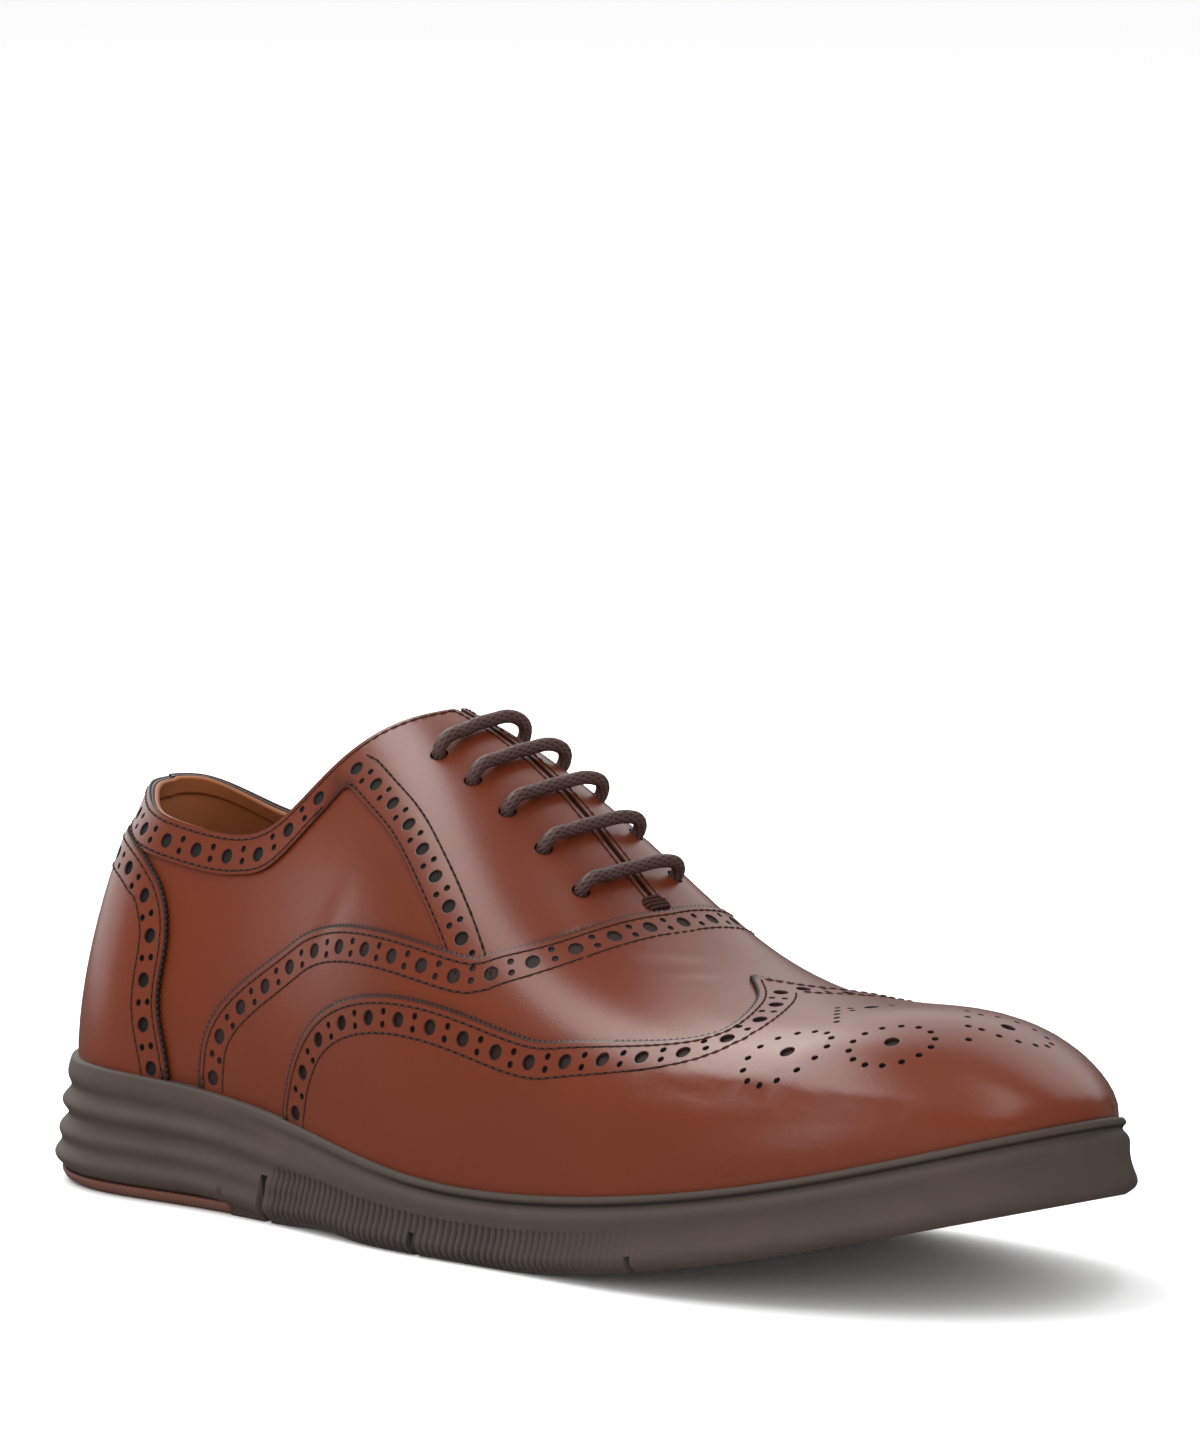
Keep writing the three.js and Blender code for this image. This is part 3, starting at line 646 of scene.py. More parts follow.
def rings(pattern, outline, rims, rounds):
    """Fixed points of a panel with their labels and edges: the outline is labelled -1, rim lines
    and the collar of each round hole -2, and the rim of a round hole its number."""
    loops = [outline]
    labels = [np.full(len(outline), -1)]
    edges = [np.stack([np.arange(len(outline)), np.roll(np.arange(len(outline)), -1)], -1)]
    total = len(outline)
    for line in rims:
        loops.append(line)
        labels.append(np.full(len(line), -2))
        edges.append(np.stack([np.arange(len(line) - 1), np.arange(1, len(line))], -1) + total)
        total += len(line)
    marks = 0
    for centres, radius, steps in rounds:
        number = np.repeat(np.arange(len(centres)) + marks, steps)
        collar = min(COLLAR[0] * radius, COLLAR[1])
        for size, label in ((radius, number), (radius + collar, np.full(len(number), -2))):
            loops.append(circles(pattern, centres, size, steps).reshape(-1, 2))
            labels.append(label)
            order = np.arange(len(centres) * steps).reshape(-1, steps)
            edges.append(np.stack([order, np.roll(order, -1, 1)], -1).reshape(-1, 2) + total)
            total += order.size
        marks += len(centres)
    return np.concatenate(loops), np.concatenate(labels), np.concatenate(edges)


def lattice_in(outline, fixed, spacing):
    """Points of a triangular lattice inside the outline that keep clear of the fixed points."""
    low, high = outline.min(0), outline.max(0)
    rows = np.arange(low[1], high[1], spacing * 0.866)
    columns = np.arange(low[0], high[0], spacing)
    lattice = np.stack(np.meshgrid(columns, rows), -1)
    lattice[1::2, :, 0] += spacing / 2
    lattice = lattice.reshape(-1, 2)
    lattice = lattice[inside(lattice, outline)]
    cell = spacing * 0.55
    key = [100000, 1]
    near = np.array([[i, j] for i in (-1, 0, 1) for j in (-1, 0, 1)])
    taken = (np.round(fixed / cell).astype(int)[:, None] + near[None]) @ key
    return lattice[~np.isin(np.round(lattice / cell).astype(int) @ key, taken.ravel())]


def triangulated(pattern, outline, fixed, label, edges, spacing):
    """Pattern points, their labels and the triangles inside the outline, by constrained
    triangulation of the fixed points with a lattice. Triangles face outward on the last."""
    lattice = lattice_in(outline, fixed, spacing)
    points = np.concatenate([fixed, lattice])
    label = np.concatenate([label, np.full(len(lattice), -3)])
    scale = 1 / MM
    made = delaunay_2d_cdt((points * scale).tolist(), edges.tolist(), [], 1, 1e-6, True)
    sizes = np.fromiter(map(len, made[3]), int, len(made[3]))
    ids = np.fromiter(itertools.chain.from_iterable(made[3]), int)
    source = ids[np.minimum(np.cumsum(sizes) - sizes, len(ids) - 1)]
    flat = np.array(made[0]) / scale
    triangles = np.array(made[2])
    corner = flat[triangles]
    side_a, side_b = corner[:, 1] - corner[:, 0], corner[:, 2] - corner[:, 0]
    area = side_a[:, 0] * side_b[:, 1] - side_a[:, 1] * side_b[:, 0]
    wrong = area * pattern.facing < 0
    triangles[wrong] = triangles[wrong][:, ::-1]
    triangles = triangles[inside(corner.mean(1), outline)]
    return flat, np.where(sizes > 0, label[source], -3), triangles


def open_edges(triangles, count):
    """Edges that belong to one triangle only."""
    edges = np.concatenate([triangles[:, [0, 1]], triangles[:, [1, 2]], triangles[:, [2, 0]]])
    keys = edges.min(1) * count + edges.max(1)
    _, back, times = np.unique(keys, return_inverse=True, return_counts=True)
    return edges[times[back] == 1]


def panel(pattern, outline, rims, layer, pits=(), holes=(), floor_tone=0.95, edge_tone=0.45):
    """One closed piece of leather. The outline, the rim lines inside it, the round pits and the
    through holes are joined in the pattern plane with a lattice of points; the sheet is then laid
    on the last at its layer's height, and walls drop from every edge to the underside or to the
    floor of a pit. Pits and holes are (centres, radius, steps)."""
    offset, thickness = (size * MM for size in LAYERS[layer])
    through_from = sum(len(group[0]) for group in pits)
    fixed = rings(pattern, outline, rims, [*pits, *holes])
    flat, label, triangles = triangulated(pattern, outline, *fixed, 0.003)
    marked = label[triangles]
    in_hole = (marked[:, 0] >= 0) & (marked == marked[:, :1]).all(1)
    through = in_hole & (marked[:, 0] >= through_from)
    top = triangles[~in_hole]
    count = len(flat)
    under = triangles[~through][:, ::-1] + count
    normal = pattern.skin_normal(flat)
    base = pattern.to_last(flat)
    feather = pattern.last.feather(pattern.last.share_of(base[:, 0]))
    on_rim = (label > -2) & (base[:, 2] > feather - 2 * RIM_DROP)
    pit_ids = np.flatnonzero((label >= 0) & (label < through_from))
    points = np.concatenate([
        pattern.skin(flat, offset - np.where(on_rim, RIM_DROP, 0.0)),
        pattern.skin(flat, np.full(count, offset - thickness)),
        pattern.skin(flat[pit_ids], np.full(len(pit_ids), offset - thickness * PIT_DEPTH)),
    ])
    low_of = np.arange(count) + count
    floor_of = low_of.copy()
    floor_of[pit_ids] = 2 * count + np.arange(len(pit_ids))
    floor = floor_of[triangles[in_hole & ~through]]
    edge = open_edges(top, count)
    ends = label[edge]
    pit_edge = (ends[:, 0] >= 0) & (ends[:, 0] < through_from)
    lower = np.where(pit_edge[:, None], floor_of[edge], low_of[edge])
    walls = np.stack([edge[:, 1], edge[:, 0], lower[:, 0], lower[:, 1]], -1)
    wall_normal = unit(np.cross(points[walls[:, 1]] - points[walls[:, 0]],
                                points[walls[:, 2]] - points[walls[:, 1]]))
    outward = np.zeros_like(points)
    np.add.at(outward, walls.ravel(), np.repeat(wall_normal, 4, 0))
    outward = unit(outward)
    normals = np.concatenate([normal, -normal, normal[pit_ids]])
    tilted = normals.copy()
    rim_ids = np.flatnonzero(on_rim)
    tilted[rim_ids] = unit(normal[rim_ids] + RIM_TILT * outward[rim_ids])
    # Tone: cut edges partly real burnish and partly painted shade, hole rims painted shade, walls
    # fading to black painted shade at their feet and on the underside, pit floors near-black painted
    # shade.
    rim_dark_and_shade = np.where(label < 0, edge_tone, 0.7)
    tone = np.concatenate([np.where(on_rim, rim_dark_and_shade, 0.0), np.ones(count),
                           np.full(len(pit_ids), floor_tone)])
    wall_corner = outward[walls]
    wall_corner[:, :2] = unit(outward[walls[:, :2]] + 0.5 * normals[walls[:, :2]])
    corners = [tilted[top], normals[under], normals[floor], wall_corner]
    return points, [top, under, floor, walls], tone, corners


def stitches(pattern, lines, offset, pitch, thread):
    """Rows of stitches: each is a short capsule whose ends dive into the leather, over a channel
    that runs along the row. The channel is black painted shade and the capsules' ends carry
    painted shade. Returns points, faces and tone."""
    ring = np.linspace(0, 2 * np.pi, 6, endpoint=False)
    along = np.array([-0.5, -0.42, -0.2, 0.2, 0.42, 0.5])
    swell = np.array([0.35, 0.8, 1, 1, 0.8, 0.35])
    sink = np.array([-0.75, -0.3, 0, 0, -0.3, -0.75])
    capsule = np.stack([
        np.broadcast_to(along[:, None], (6, 6)),
        swell[:, None] * np.cos(ring),
        swell[:, None] * np.sin(ring) + sink[:, None],
    ], -1).reshape(-1, 3)
    shape = grid_faces(6, 6, wrap_columns=True)
    ends = np.array([[0, 5, 4, 3], [0, 3, 2, 1]])
    shape = np.concatenate([shape[:, ::-1], ends[:, ::-1], ends + 30])
    points, faces, tones = [], [], []
    start = 0
    for line in lines:
        centres = even(pattern, line, pitch, closed_ends=False)
        ahead, left, normal = tangents(pattern, centres)
        base = pattern.skin(centres, np.full(len(centres), offset + thread * 0.1))
        body = (base[:, None]
                + capsule[:, 0, None] * ahead[:, None] * pitch * 0.8
                + capsule[:, 1, None] * left[:, None] * thread / 2
                + capsule[:, 2, None] * normal[:, None] * thread / 2)
        points.append(body.reshape(-1, 3))
        faces.append((shape[None] + 36 * np.arange(len(centres))[:, None, None]).reshape(-1, 4)
                     + start)
        # Painted shade at the ends of each stitch, where it dives into the leather.
        tones.append(np.tile(np.repeat(np.array([0.8, 0.3, 0, 0, 0.3, 0.8]), 6), len(centres)))
        start += body.shape[0] * 36
        # A black channel of painted shade along the row, under the stitches.
        track = even(pattern, line, pitch / 2)
        ahead, left, normal = tangents(pattern, track)
        profile = np.array([[-0.62, -0.2], [-0.4, 0.04], [0.4, 0.04], [0.62, -0.2]]) * thread
        bed = pattern.skin(track, np.full(len(track), offset))
        strip = (bed[:, None] + profile[:, 0, None] * left[:, None]
                 + profile[:, 1, None] * normal[:, None])
        points.append(strip.reshape(-1, 3))
        faces.append(grid_faces(len(track), 4, wrap_columns=True, start=start))
        last = start + len(track) * 4 - 4
        faces.append(np.array([[start + 3, start + 2, start + 1, start],
                               [last, last + 1, last + 2, last + 3]]))
        tones.append(np.ones(len(track) * 4))
        start += len(track) * 4
    return np.concatenate(points), faces, np.concatenate(tones)


# Materials

def shader_group(name, inputs, outputs):
    """An empty shader node group with named float, colour or vector sockets."""
    group = bpy.data.node_groups.new(name, "ShaderNodeTree")
    for socket_name, kind, default in inputs:
        socket = group.interface.new_socket(socket_name, in_out="INPUT", socket_type=kind)
        socket.default_value = default
    for socket_name, kind in outputs:
        group.interface.new_socket(socket_name, in_out="OUTPUT", socket_type=kind)
    return group, group.nodes.new("NodeGroupInput"), group.nodes.new("NodeGroupOutput")


def textured(nodes, links, kind, scale, detail=None):
    """A noise or cell texture on object coordinates, with a number or a socket for its scale."""
    texture = nodes.new(kind)
    links.new(nodes.new("ShaderNodeTexCoord").outputs["Object"], texture.inputs["Vector"])
    if isinstance(scale, (int, float)):
        texture.inputs["Scale"].default_value = scale
    else:
        links.new(scale, texture.inputs["Scale"])
    if detail is not None:
        texture.inputs["Detail"].default_value = detail
    return texture.outputs


def maths(nodes, links, operation, first, second):
    """A math node on sockets or numbers."""
    node = nodes.new("ShaderNodeMath")
    node.operation = operation
    for socket, value in zip(node.inputs, (first, second)):
        if isinstance(value, (int, float)):
            socket.default_value = value
        else:
            links.new(value, socket)
    return node.outputs[0]


def mix_colour(nodes, links, share, first, second):
    """A colour mix by a socket, of sockets or colours."""
    node = nodes.new("ShaderNodeMix")
    node.data_type = "RGBA"
    links.new(share, node.inputs[0])
    for index, value in ((6, first), (7, second)):
        if isinstance(value, bpy.types.NodeSocket):
            links.new(value, node.inputs[index])
        else:
            node.inputs[index].default_value = (*value, 1)
    return node.outputs[2]


def clamped(nodes, links, value):
    """The value held between 0 and 1."""
    clamp = nodes.new("ShaderNodeClamp")
    links.new(value, clamp.inputs["Value"])
    return clamp.outputs[0]


def burnish_and_shade_group():
    """Colour of polished leather with slow mottling and painted shade. The tone attribute darkens it
    to the dark colour at 0.6, partly real burnish and partly painted shade, and to black painted
    shade at 1."""
    group, given, result = shader_group(
        "burnish_and_shade",
        [("Color", "NodeSocketColor", (0.2, 0.05, 0.02, 1)),
         ("Dark", "NodeSocketColor", (0.04, 0.01, 0.005, 1)),
         ("Mottling", "NodeSocketFloat", 0.3),
         ("Cloud Scale", "NodeSocketFloat", 30.0)],
        [("Color", "NodeSocketColor"), ("Mask", "NodeSocketFloat")])
    nodes, links = group.nodes, group.links
    cloud = textured(nodes, links, "ShaderNodeTexNoise", given.outputs["Cloud Scale"], 3)["Fac"]
    slow = maths(nodes, links, "MULTIPLY", maths(nodes, links, "SUBTRACT", cloud, 0.25),
                 given.outputs["Mottling"])
    tone = nodes.new("ShaderNodeAttribute")
    tone.attribute_name = "tone"
    # Dark colour by tone, partly real burnish and partly painted shade, with random mottling.
    mask = maths(nodes, links, "MULTIPLY", tone.outputs["Fac"], 1 / 0.6)
    mask = clamped(nodes, links, maths(nodes, links, "ADD", mask, slow))
    # Painted shade: past 0.6 the tone mixes to near black, in holes, on cut walls and in grooves.
    painted_shade = maths(nodes, links, "SUBTRACT", tone.outputs["Fac"], 0.6)
    painted_shade = clamped(nodes, links, maths(nodes, links, "MULTIPLY", painted_shade, 1 / 0.4))
    brown = mix_colour(nodes, links, mask, given.outputs["Color"], given.outputs["Dark"])
    links.new(mix_colour(nodes, links, painted_shade, brown, (0.004, 0.004, 0.0035)),
              result.inputs["Color"])
    links.new(painted_shade, result.inputs["Mask"])
    return group


def grain_group():
    """Height of a fine grain, small cells with noise over them, and a roughness that wanders
    slowly by the spread."""
    group, given, result = shader_group(
        "grain",
        [("Scale", "NodeSocketFloat", 1400.0), ("Roughness", "NodeSocketFloat", 0.35),
         ("Spread", "NodeSocketFloat", 0.1)],
        [("Height", "NodeSocketFloat"), ("Roughness", "NodeSocketFloat")])
    nodes, links = group.nodes, group.links
    cells = textured(nodes, links, "ShaderNodeTexVoronoi", given.outputs["Scale"])
    cloud = textured(nodes, links, "ShaderNodeTexNoise", 260.0, 4.0)["Fac"]
    links.new(maths(nodes, links, "ADD", cells["Distance"], cloud), result.inputs["Height"])
    slow = textured(nodes, links, "ShaderNodeTexNoise", 45.0, 2.0)["Fac"]
    spread = maths(nodes, links, "MULTIPLY", maths(nodes, links, "SUBTRACT", slow, 0.5),
                   given.outputs["Spread"])
    links.new(maths(nodes, links, "ADD", given.outputs["Roughness"], spread),
              result.inputs["Roughness"])
    return group


# Finishes: colour property, dark colour, roughness and its spread, mottling, clouds per metre,
# grain cells per metre and specular level.
# The dark colour is what the tone attribute darkens towards: painted shade in holes, grooves, braids
# and stitch ends, a seam line on the lining, and on the upper leather also the real burnish along the
# edges.
FINISHES = {
    "upper_leather": ("leather", "leather_dark", 0.3, 0.05, 0.55, 22, 1400, 0.5),
    "lining": ("lining", (0.16, 0.05, 0.015), 0.55, 0.1, 0.3, 30, 1400, 0.5),
    "thread": ("thread", (0.012, 0.005, 0.004), 0.75, 0.1, 0.3, 30, 6000, 0.2),
    "sole": ("sole", (0.02, 0.014, 0.011), 0.62, 0.1, 0.5, 60, 2500, 0.5),
    "heel_pad": ("pad", (0.04, 0.02, 0.014), 0.6, 0.1, 0.3, 30, 1400, 0.5),
    "lace": ("lace", (0.012, 0.006, 0.007), 0.5, 0.1, 0.3, 30, 9000, 0.5),
}
GRAIN_DEPTH = 0.00002


class Finishes:
    """The materials, each made when it is first asked for."""

    def __init__(self, colours):
        self.colours = colours
        self.groups = {"burnish_and_shade": burnish_and_shade_group(), "grain": grain_group()}

    def get(self, name):
        """The material of a row of FINISHES."""
        return bpy.data.materials.get(f"{name}_finish") or self.make(name, *FINISHES[name])

    def add_group(self, nodes, name, values):
        """A node of a shared group with its sockets set."""
        node = nodes.new("ShaderNodeGroup")
        node.node_tree = self.groups[name]
        for socket, value in values.items():
            node.inputs[socket].default_value = value
        return node.outputs

    def make(self, name, base, dark, roughness, spread, mottling, clouds, cells, specular):
        """A Principled material from the burnish and painted shade group and the grain group."""
        material = bpy.data.materials.new(f"{name}_finish")
        material.use_nodes = True
        nodes, links = material.node_tree.nodes, material.node_tree.links
        shader = nodes["Principled BSDF"]
        base = getattr(self.colours, base)
        dark = getattr(self.colours, dark) if isinstance(dark, str) else dark
        burnish_and_shade = self.add_group(nodes, "burnish_and_shade", {
            "Color": (*base, 1), "Dark": (*dark, 1), "Mottling": mottling, "Cloud Scale": clouds})
        grain = self.add_group(nodes, "grain", {
            "Scale": cells, "Roughness": roughness, "Spread": spread})
        links.new(burnish_and_shade["Color"], shader.inputs["Base Color"])
        # The painted shade mask also raises the roughness.
        painted_shade = maths(nodes, links, "MULTIPLY", burnish_and_shade["Mask"], 0.6)
        links.new(maths(nodes, links, "ADD", grain["Roughness"], painted_shade),
                  shader.inputs["Roughness"])
        raised = nodes.new("ShaderNodeBump")
        raised.inputs["Strength"].default_value = 0.6
        raised.inputs["Distance"].default_value = GRAIN_DEPTH
        links.new(grain["Height"], raised.inputs["Height"])
        links.new(raised.outputs[0], shader.inputs["Normal"])
        shader.inputs["Specular IOR Level"].default_value = specular
        return material


# The shoe's common ground

class Shoe:
    """The last, its patterns and the lines that several pieces share."""

    def __init__(self, scene):
        self.upper = scene.shoe_upper
        self.lace = scene.shoe_lace
        self.sole = scene.shoe_sole
        self.last = Last(scene.shoe_last)
        self.heel = HeelPattern(self.last)
        self.front = FrontPattern(self.last)
        size = scene.shoe_last
        self.tops = [self._height(rows, size) for rows in (OUTER_TOPLINE, INNER_TOPLINE)]
        self.facing_height = spline(FACING[:, 0], FACING[:, 1] * size.instep_rise)
        self.throat_share = self.upper.throat_end / size.last_length

    @staticmethod
    def _height(rows, size):
        """Topline height as a function of the share of the length."""
        collar = spline(rows[:, 0], rows[:, 1])
        instep = spline(rows[:, 0], rows[:, 2])
        return lambda share: (collar(share) * size.collar_rise + instep(share) * size.instep_rise)

    def top(self, side):
        """Topline height on a side."""
        return self.tops[int(side > 0)]

    def eyelet_stations(self):
        """Stations of the eyelets."""
        runs = self.lace.first_eyelet + self.lace.eyelet_pitch * np.arange(self.lace.eyelet_count)
        return turn(runs / self.last.size.last_length)

    def eyelets(self):
        """The eyelets of both sides as through holes of a heel pattern panel."""
        stations = self.eyelet_stations()
        centres = [self.heel.lay(stations, side, EYELET_UP) for side in (-1, 1)]
        return [(np.concatenate(centres), self.lace.eyelet_radius, 20)]

    def upper_edge(self, p, side, half_gap):
        """How far up the sections the leather reaches: the topline, or the slit's edge where
        that is lower."""
        top = self.last.up_at_height(p, side, self.top(side))
        slit = self.last.up_at_gap(p, side, half_gap)
        return np.where(share_at(p) > 0.3, np.minimum(top, slit), top)

    def edge_above(self, side):
        """Topline and slit edge on the heel pattern, from the heel to the end of the slit."""
        p = np.linspace(0, turn(self.throat_share), 900)
        return self.heel.lay(p, side, self.upper_edge(p, side, self.upper.throat_gap / 2))

    def crest(self, side, front, count):
        """The crown line on the heel pattern, from a station back to the end of the slit."""
        return self.heel.lay(np.linspace(front, turn(self.throat_share), count), side, 1.0)

    def collar_line(self, side):
        """A line below the topline by the collar band, which widens towards the facing's
        corner."""
        p = np.linspace(0, turn(FACING[0, 0] - 0.018), 120)
        steep = 0.45 * smoothstep(share_at(p), 0.21, 0.285)
        band = self.upper.collar_band * (1 + steep)
        return self.heel.lay(p, side, self.last.up_at_height(p, side, self.top(side), -band))

    def facing_line(self, side):
        """Back edge of the facing from its top corner down under the vamp."""
        p = np.linspace(turn(FACING[0, 0] - 0.006), turn(FACING[-1, 0]), 80)
        up = self.last.up_at_height(p, side, self.facing_height)
        return self.heel.lay(p, side, up)

    def edge_on_front(self, table, forward=0.0, count=260):
        """A table's edge on the front pattern, from the outer feather line to the inner one."""
        at = spline(table[:, 0], table[:, 1])
        up = np.linspace(0, 1, count)
        p = turn(at(up) + forward)
        outer = self.front.lay(p, -1, up)
        inner = self.front.lay(p[::-1], 1, up[::-1])
        return np.concatenate([outer, inner[1:]]), p[0]

    def side_view(self, side, shares, heights):
        """Heel pattern places of points given in side view by X share and height."""
        p = np.linspace(0, 0.5, 160)[:, None] * np.ones(len(shares))
        up = self.last.up_at_height(p, side, lambda share: heights[None, :] + 0 * share)
        x = self.last.share_of(self.last.point(p, side, up)[..., 0])
        level = np.clip(np.asarray(shares), x[0], None)
        station = np.array([np.interp(level[k], x[:, k], p[:, k]) for k in range(len(shares))])
        up = self.last.up_at_height(station, side, lambda share: heights + 0 * share)
        return self.heel.lay(station, side, up)


def joined(*parts):
    """Lines joined end to end without repeated points."""
    line = np.concatenate(parts)
    step = np.linalg.norm(np.diff(line, axis=0, append=line[:1]), axis=1)
    return line[step > 0.00012]


def flip(line):
    """The line run the other way."""
    return line[::-1]


def straight(first, last, count):
    """A straight line on the pattern."""
    t = np.linspace(0, 1, count)[:, None]
    return first * (1 - t) + last * t


def closed_round(outer, inner):
    """The outline from the lines of its outer half and those of its inner half run back."""
    return joined(*outer, *[flip(part) for part in reversed(inner)])


def brogue(pattern, centre_line, upper):
    """Large holes at even runs along the line and pairs of small ones between them."""
    large = even(pattern, centre_line, upper.punch)
    middle = (large[1:] + large[:-1]) / 2
    _, left, _ = tangents(pattern, middle)
    reach = left * 1.45 * MM
    return large, np.concatenate([pattern.shift(middle, reach), pattern.shift(middle, -reach)])


_shoe = {}


def shoe():
    """The common ground, worked out once for the scene."""
    if "ground" not in _shoe:
        _shoe["ground"] = Shoe(bpy.context.scene)
        _shoe["finishes"] = Finishes(bpy.context.scene.shoe_colours)
    return _shoe["ground"], _shoe["finishes"]


def add_punched(name, thread_name, pattern, layer, slot, shape, replaced=(), eyelets=(), **tones):
    """Adds a punched panel of leather and its stitches. The shape is its outline, rim lines,
    stitch rows and the centres of its large and small holes."""
    ground, finishes = shoe()
    upper = ground.upper
    outline, rims, rows, large, small = shape
    pits = [(large, upper.large_hole / 2, 18), (small, upper.small_hole / 2, 9)]
    points, faces, tone, normals = panel(pattern, outline, rims, layer, pits, eyelets, **tones)
    add_piece(name, points, faces, finishes.get("upper_leather"), tone, normals, replaced)
    points, faces, tone = stitches(pattern, rows, LAYERS[layer][0] * MM, upper.stitch, upper.thread)
    add_piece(thread_name, points, faces, finishes.get("thread"), tone)


class SHOE_OT_quarters(bpy.types.Operator):
    """Plain quarters round the heel, from the feather line to the topline"""
    bl_idname = "shoe.quarters"
    bl_label = "Quarters"

    def execute(self, context):
        ground, finishes = shoe()
        heel = ground.heel
        front = turn(0.555)
        halves = []
        for side in (-1, 1):
            bottom = heel.lay(np.linspace(0, front, 160), side, -FOOT_TUCK)
            rise = heel.lay(front, side, np.linspace(-FOOT_TUCK, 1, 60))
            halves.append([even(heel, bottom, 0.0025), even(heel, rise, 0.0025),
                           ground.crest(side, front, 12),
                           even(heel, flip(ground.edge_above(side)), 0.0012)])
        points, faces, tone, normals = panel(heel, closed_round(*halves), [], "quarters",
                                             holes=ground.eyelets())
        add_piece("quarters", points, faces, finishes.get("upper_leather"), tone,
                  normals, ("upper",))
        return {"FINISHED"}


class SHOE_OT_facings(bpy.types.Operator):
    """Collar band and facings, in one piece round the heel, with their stitches"""
    bl_idname = "shoe.facings"
    bl_label = "Collar and facings"

    def execute(self, context):
        ground, _ = shoe()
        heel, upper = ground.heel, ground.upper
        front = turn(0.6)
        halves, rims, rows, large, small = [], [], [], [], []
        for side in (-1, 1):
            collar, facing = ground.collar_line(side), ground.facing_line(side)
            above = ground.edge_above(side)
            halves.append([
                even(heel, np.concatenate([collar, facing]), 0.0018),
                straight(facing[-1], heel.lay(front, side, 1.0), 20),
                ground.crest(side, front, 16),
                even(heel, flip(above), 0.0012),
            ])
            above = even(heel, above, 0.0015)
            band = even(heel, collar, LINE_STEP)
            strip = even(heel, facing, LINE_STEP)
            rim = -0.4 * MM * side
            rims.append(even(heel, beside(heel, above, -rim), 0.0015)[2:-2])
            rims.append(even(heel, beside(heel, band, rim), 0.0018)[1:-2])
            rims.append(even(heel, beside(heel, strip, rim), 0.0018)[2:-2])
            for line, distance in ((even(heel, above, LINE_STEP), -1.3), (band, 1.0), (strip, 1.0),
                                   (strip, 9.0)):
                rows.append(beside(heel, line, -distance * MM * side))
            for line, distance, stop in ((band, 4.4, None), (strip, 5.0, -1)):
                holes, pairs = brogue(heel, beside(heel, line, -distance * MM * side), upper)
                large.append(holes[:stop])
                small.append(pairs)
        large = apart(heel, np.concatenate(large), 0.004)
        shape = closed_round(*halves), rims, rows, large, np.concatenate(small)
        add_punched("collar_facings", "collar_stitches", heel, "facings", "upper_leather", shape,
                    eyelets=ground.eyelets())
        return {"FINISHED"}


def apart(pattern, centres, distance, taken=None):
    """The centres that keep a distance from each other and from any that are taken."""
    points = pattern.to_last(centres)
    gaps = np.linalg.norm(points[:, None] - points[None], axis=-1)
    earlier = np.tril(gaps < distance, -1).any(1)
    if taken is not None:
        others = pattern.to_last(taken)
        earlier |= (np.linalg.norm(points[:, None] - others[None], axis=-1) < distance).any(1)
    return centres[~earlier]


class SHOE_OT_counter(bpy.types.Operator):
    """Heel counter with its pinked edge, holes and stitches"""
    bl_idname = "shoe.counter"
    bl_label = "Heel counter"

    def execute(self, context):
        ground, _ = shoe()
        heel, last = ground.heel, ground.last
        shares = COUNTER_EDGE[:-1, 0]
        heights = COUNTER_EDGE[:, 1] * last.size.collar_rise
        halves = []
        for side in (-1, 1):
            up = last.up_at_height(np.zeros(1), side, lambda share: heights[-1] + 0 * share)
            halves.append(np.concatenate([ground.side_view(side, shares, heights[:-1]),
                                          heel.lay(0.0, side, up)]))
        line = smooth_line(np.concatenate([halves[0], flip(halves[1])[1:]]))
        edge = pinked(heel, line, ground.upper.pinking, TOOTH)
        front_outer, front_inner = turn(last.share_of(heel.to_last(edge[[0, -1]])[:, 0]))
        outline = joined(edge, heel.lay(np.linspace(front_inner, 0, 40), 1, -FOOT_TUCK),
                         heel.lay(np.linspace(0, front_outer, 40), -1, -FOOT_TUCK)[1:])
        rim, rows, middle = edge_lines(heel, line, 1)
        large, small = brogue(heel, middle, ground.upper)
        add_punched("counter_panel", "counter_stitches", heel, "counter", "cap_leather",
                    (outline, [rim], rows, large, small), ("heel_counter",), edge_tone=0.8)
        return {"FINISHED"}


def edge_lines(pattern, line, turned):
    """Rim line, stitch rows and row of holes inside a pinked edge, to the line's left where
    turned is 1 and to its right where it is -1."""
    fine, coarse = even(pattern, line, 0.0015), even(pattern, line, LINE_STEP)
    rim = beside(pattern, fine, RIM_INSET * turned * MM)[2:-2]
    rows = [beside(pattern, coarse, inset * turned * MM) for inset in STITCH_INSETS]
    return rim, rows, beside(pattern, coarse, HOLE_INSET * turned * MM)[1:-1]


class SHOE_OT_vamp(bpy.types.Operator):
    """Vamp with its pinked back edge, holes and stitches"""
    bl_idname = "shoe.vamp"
    bl_label = "Vamp"

    def execute(self, context):
        ground, _ = shoe()
        front = ground.front
        line, start = ground.edge_on_front(VAMP_EDGE)
        edge = pinked(front, line, ground.upper.pinking, -TOOTH)
        wing, stop = ground.edge_on_front(WING_EDGE)
        hidden = np.concatenate([inset(front, part, side, 6)
                                 for side, part in halves_of(wing)])
        stop = turn(share_at(stop) + 0.02)
        inner_foot = front.lay(np.linspace(start, stop, 40), 1, -FOOT_TUCK)
        outer_foot = front.lay(np.linspace(stop, start, 40), -1, -FOOT_TUCK)
        outline = joined(edge, inner_foot, flip(hidden), outer_foot)
        rim, rows, middle = edge_lines(front, line, -1)
        large, small = brogue(front, middle, ground.upper)
        add_punched("vamp", "vamp_stitches", front, "vamp", "upper_leather",
                    (outline, [rim], rows, large, small), floor_tone=0.85, edge_tone=0.8)
        return {"FINISHED"}


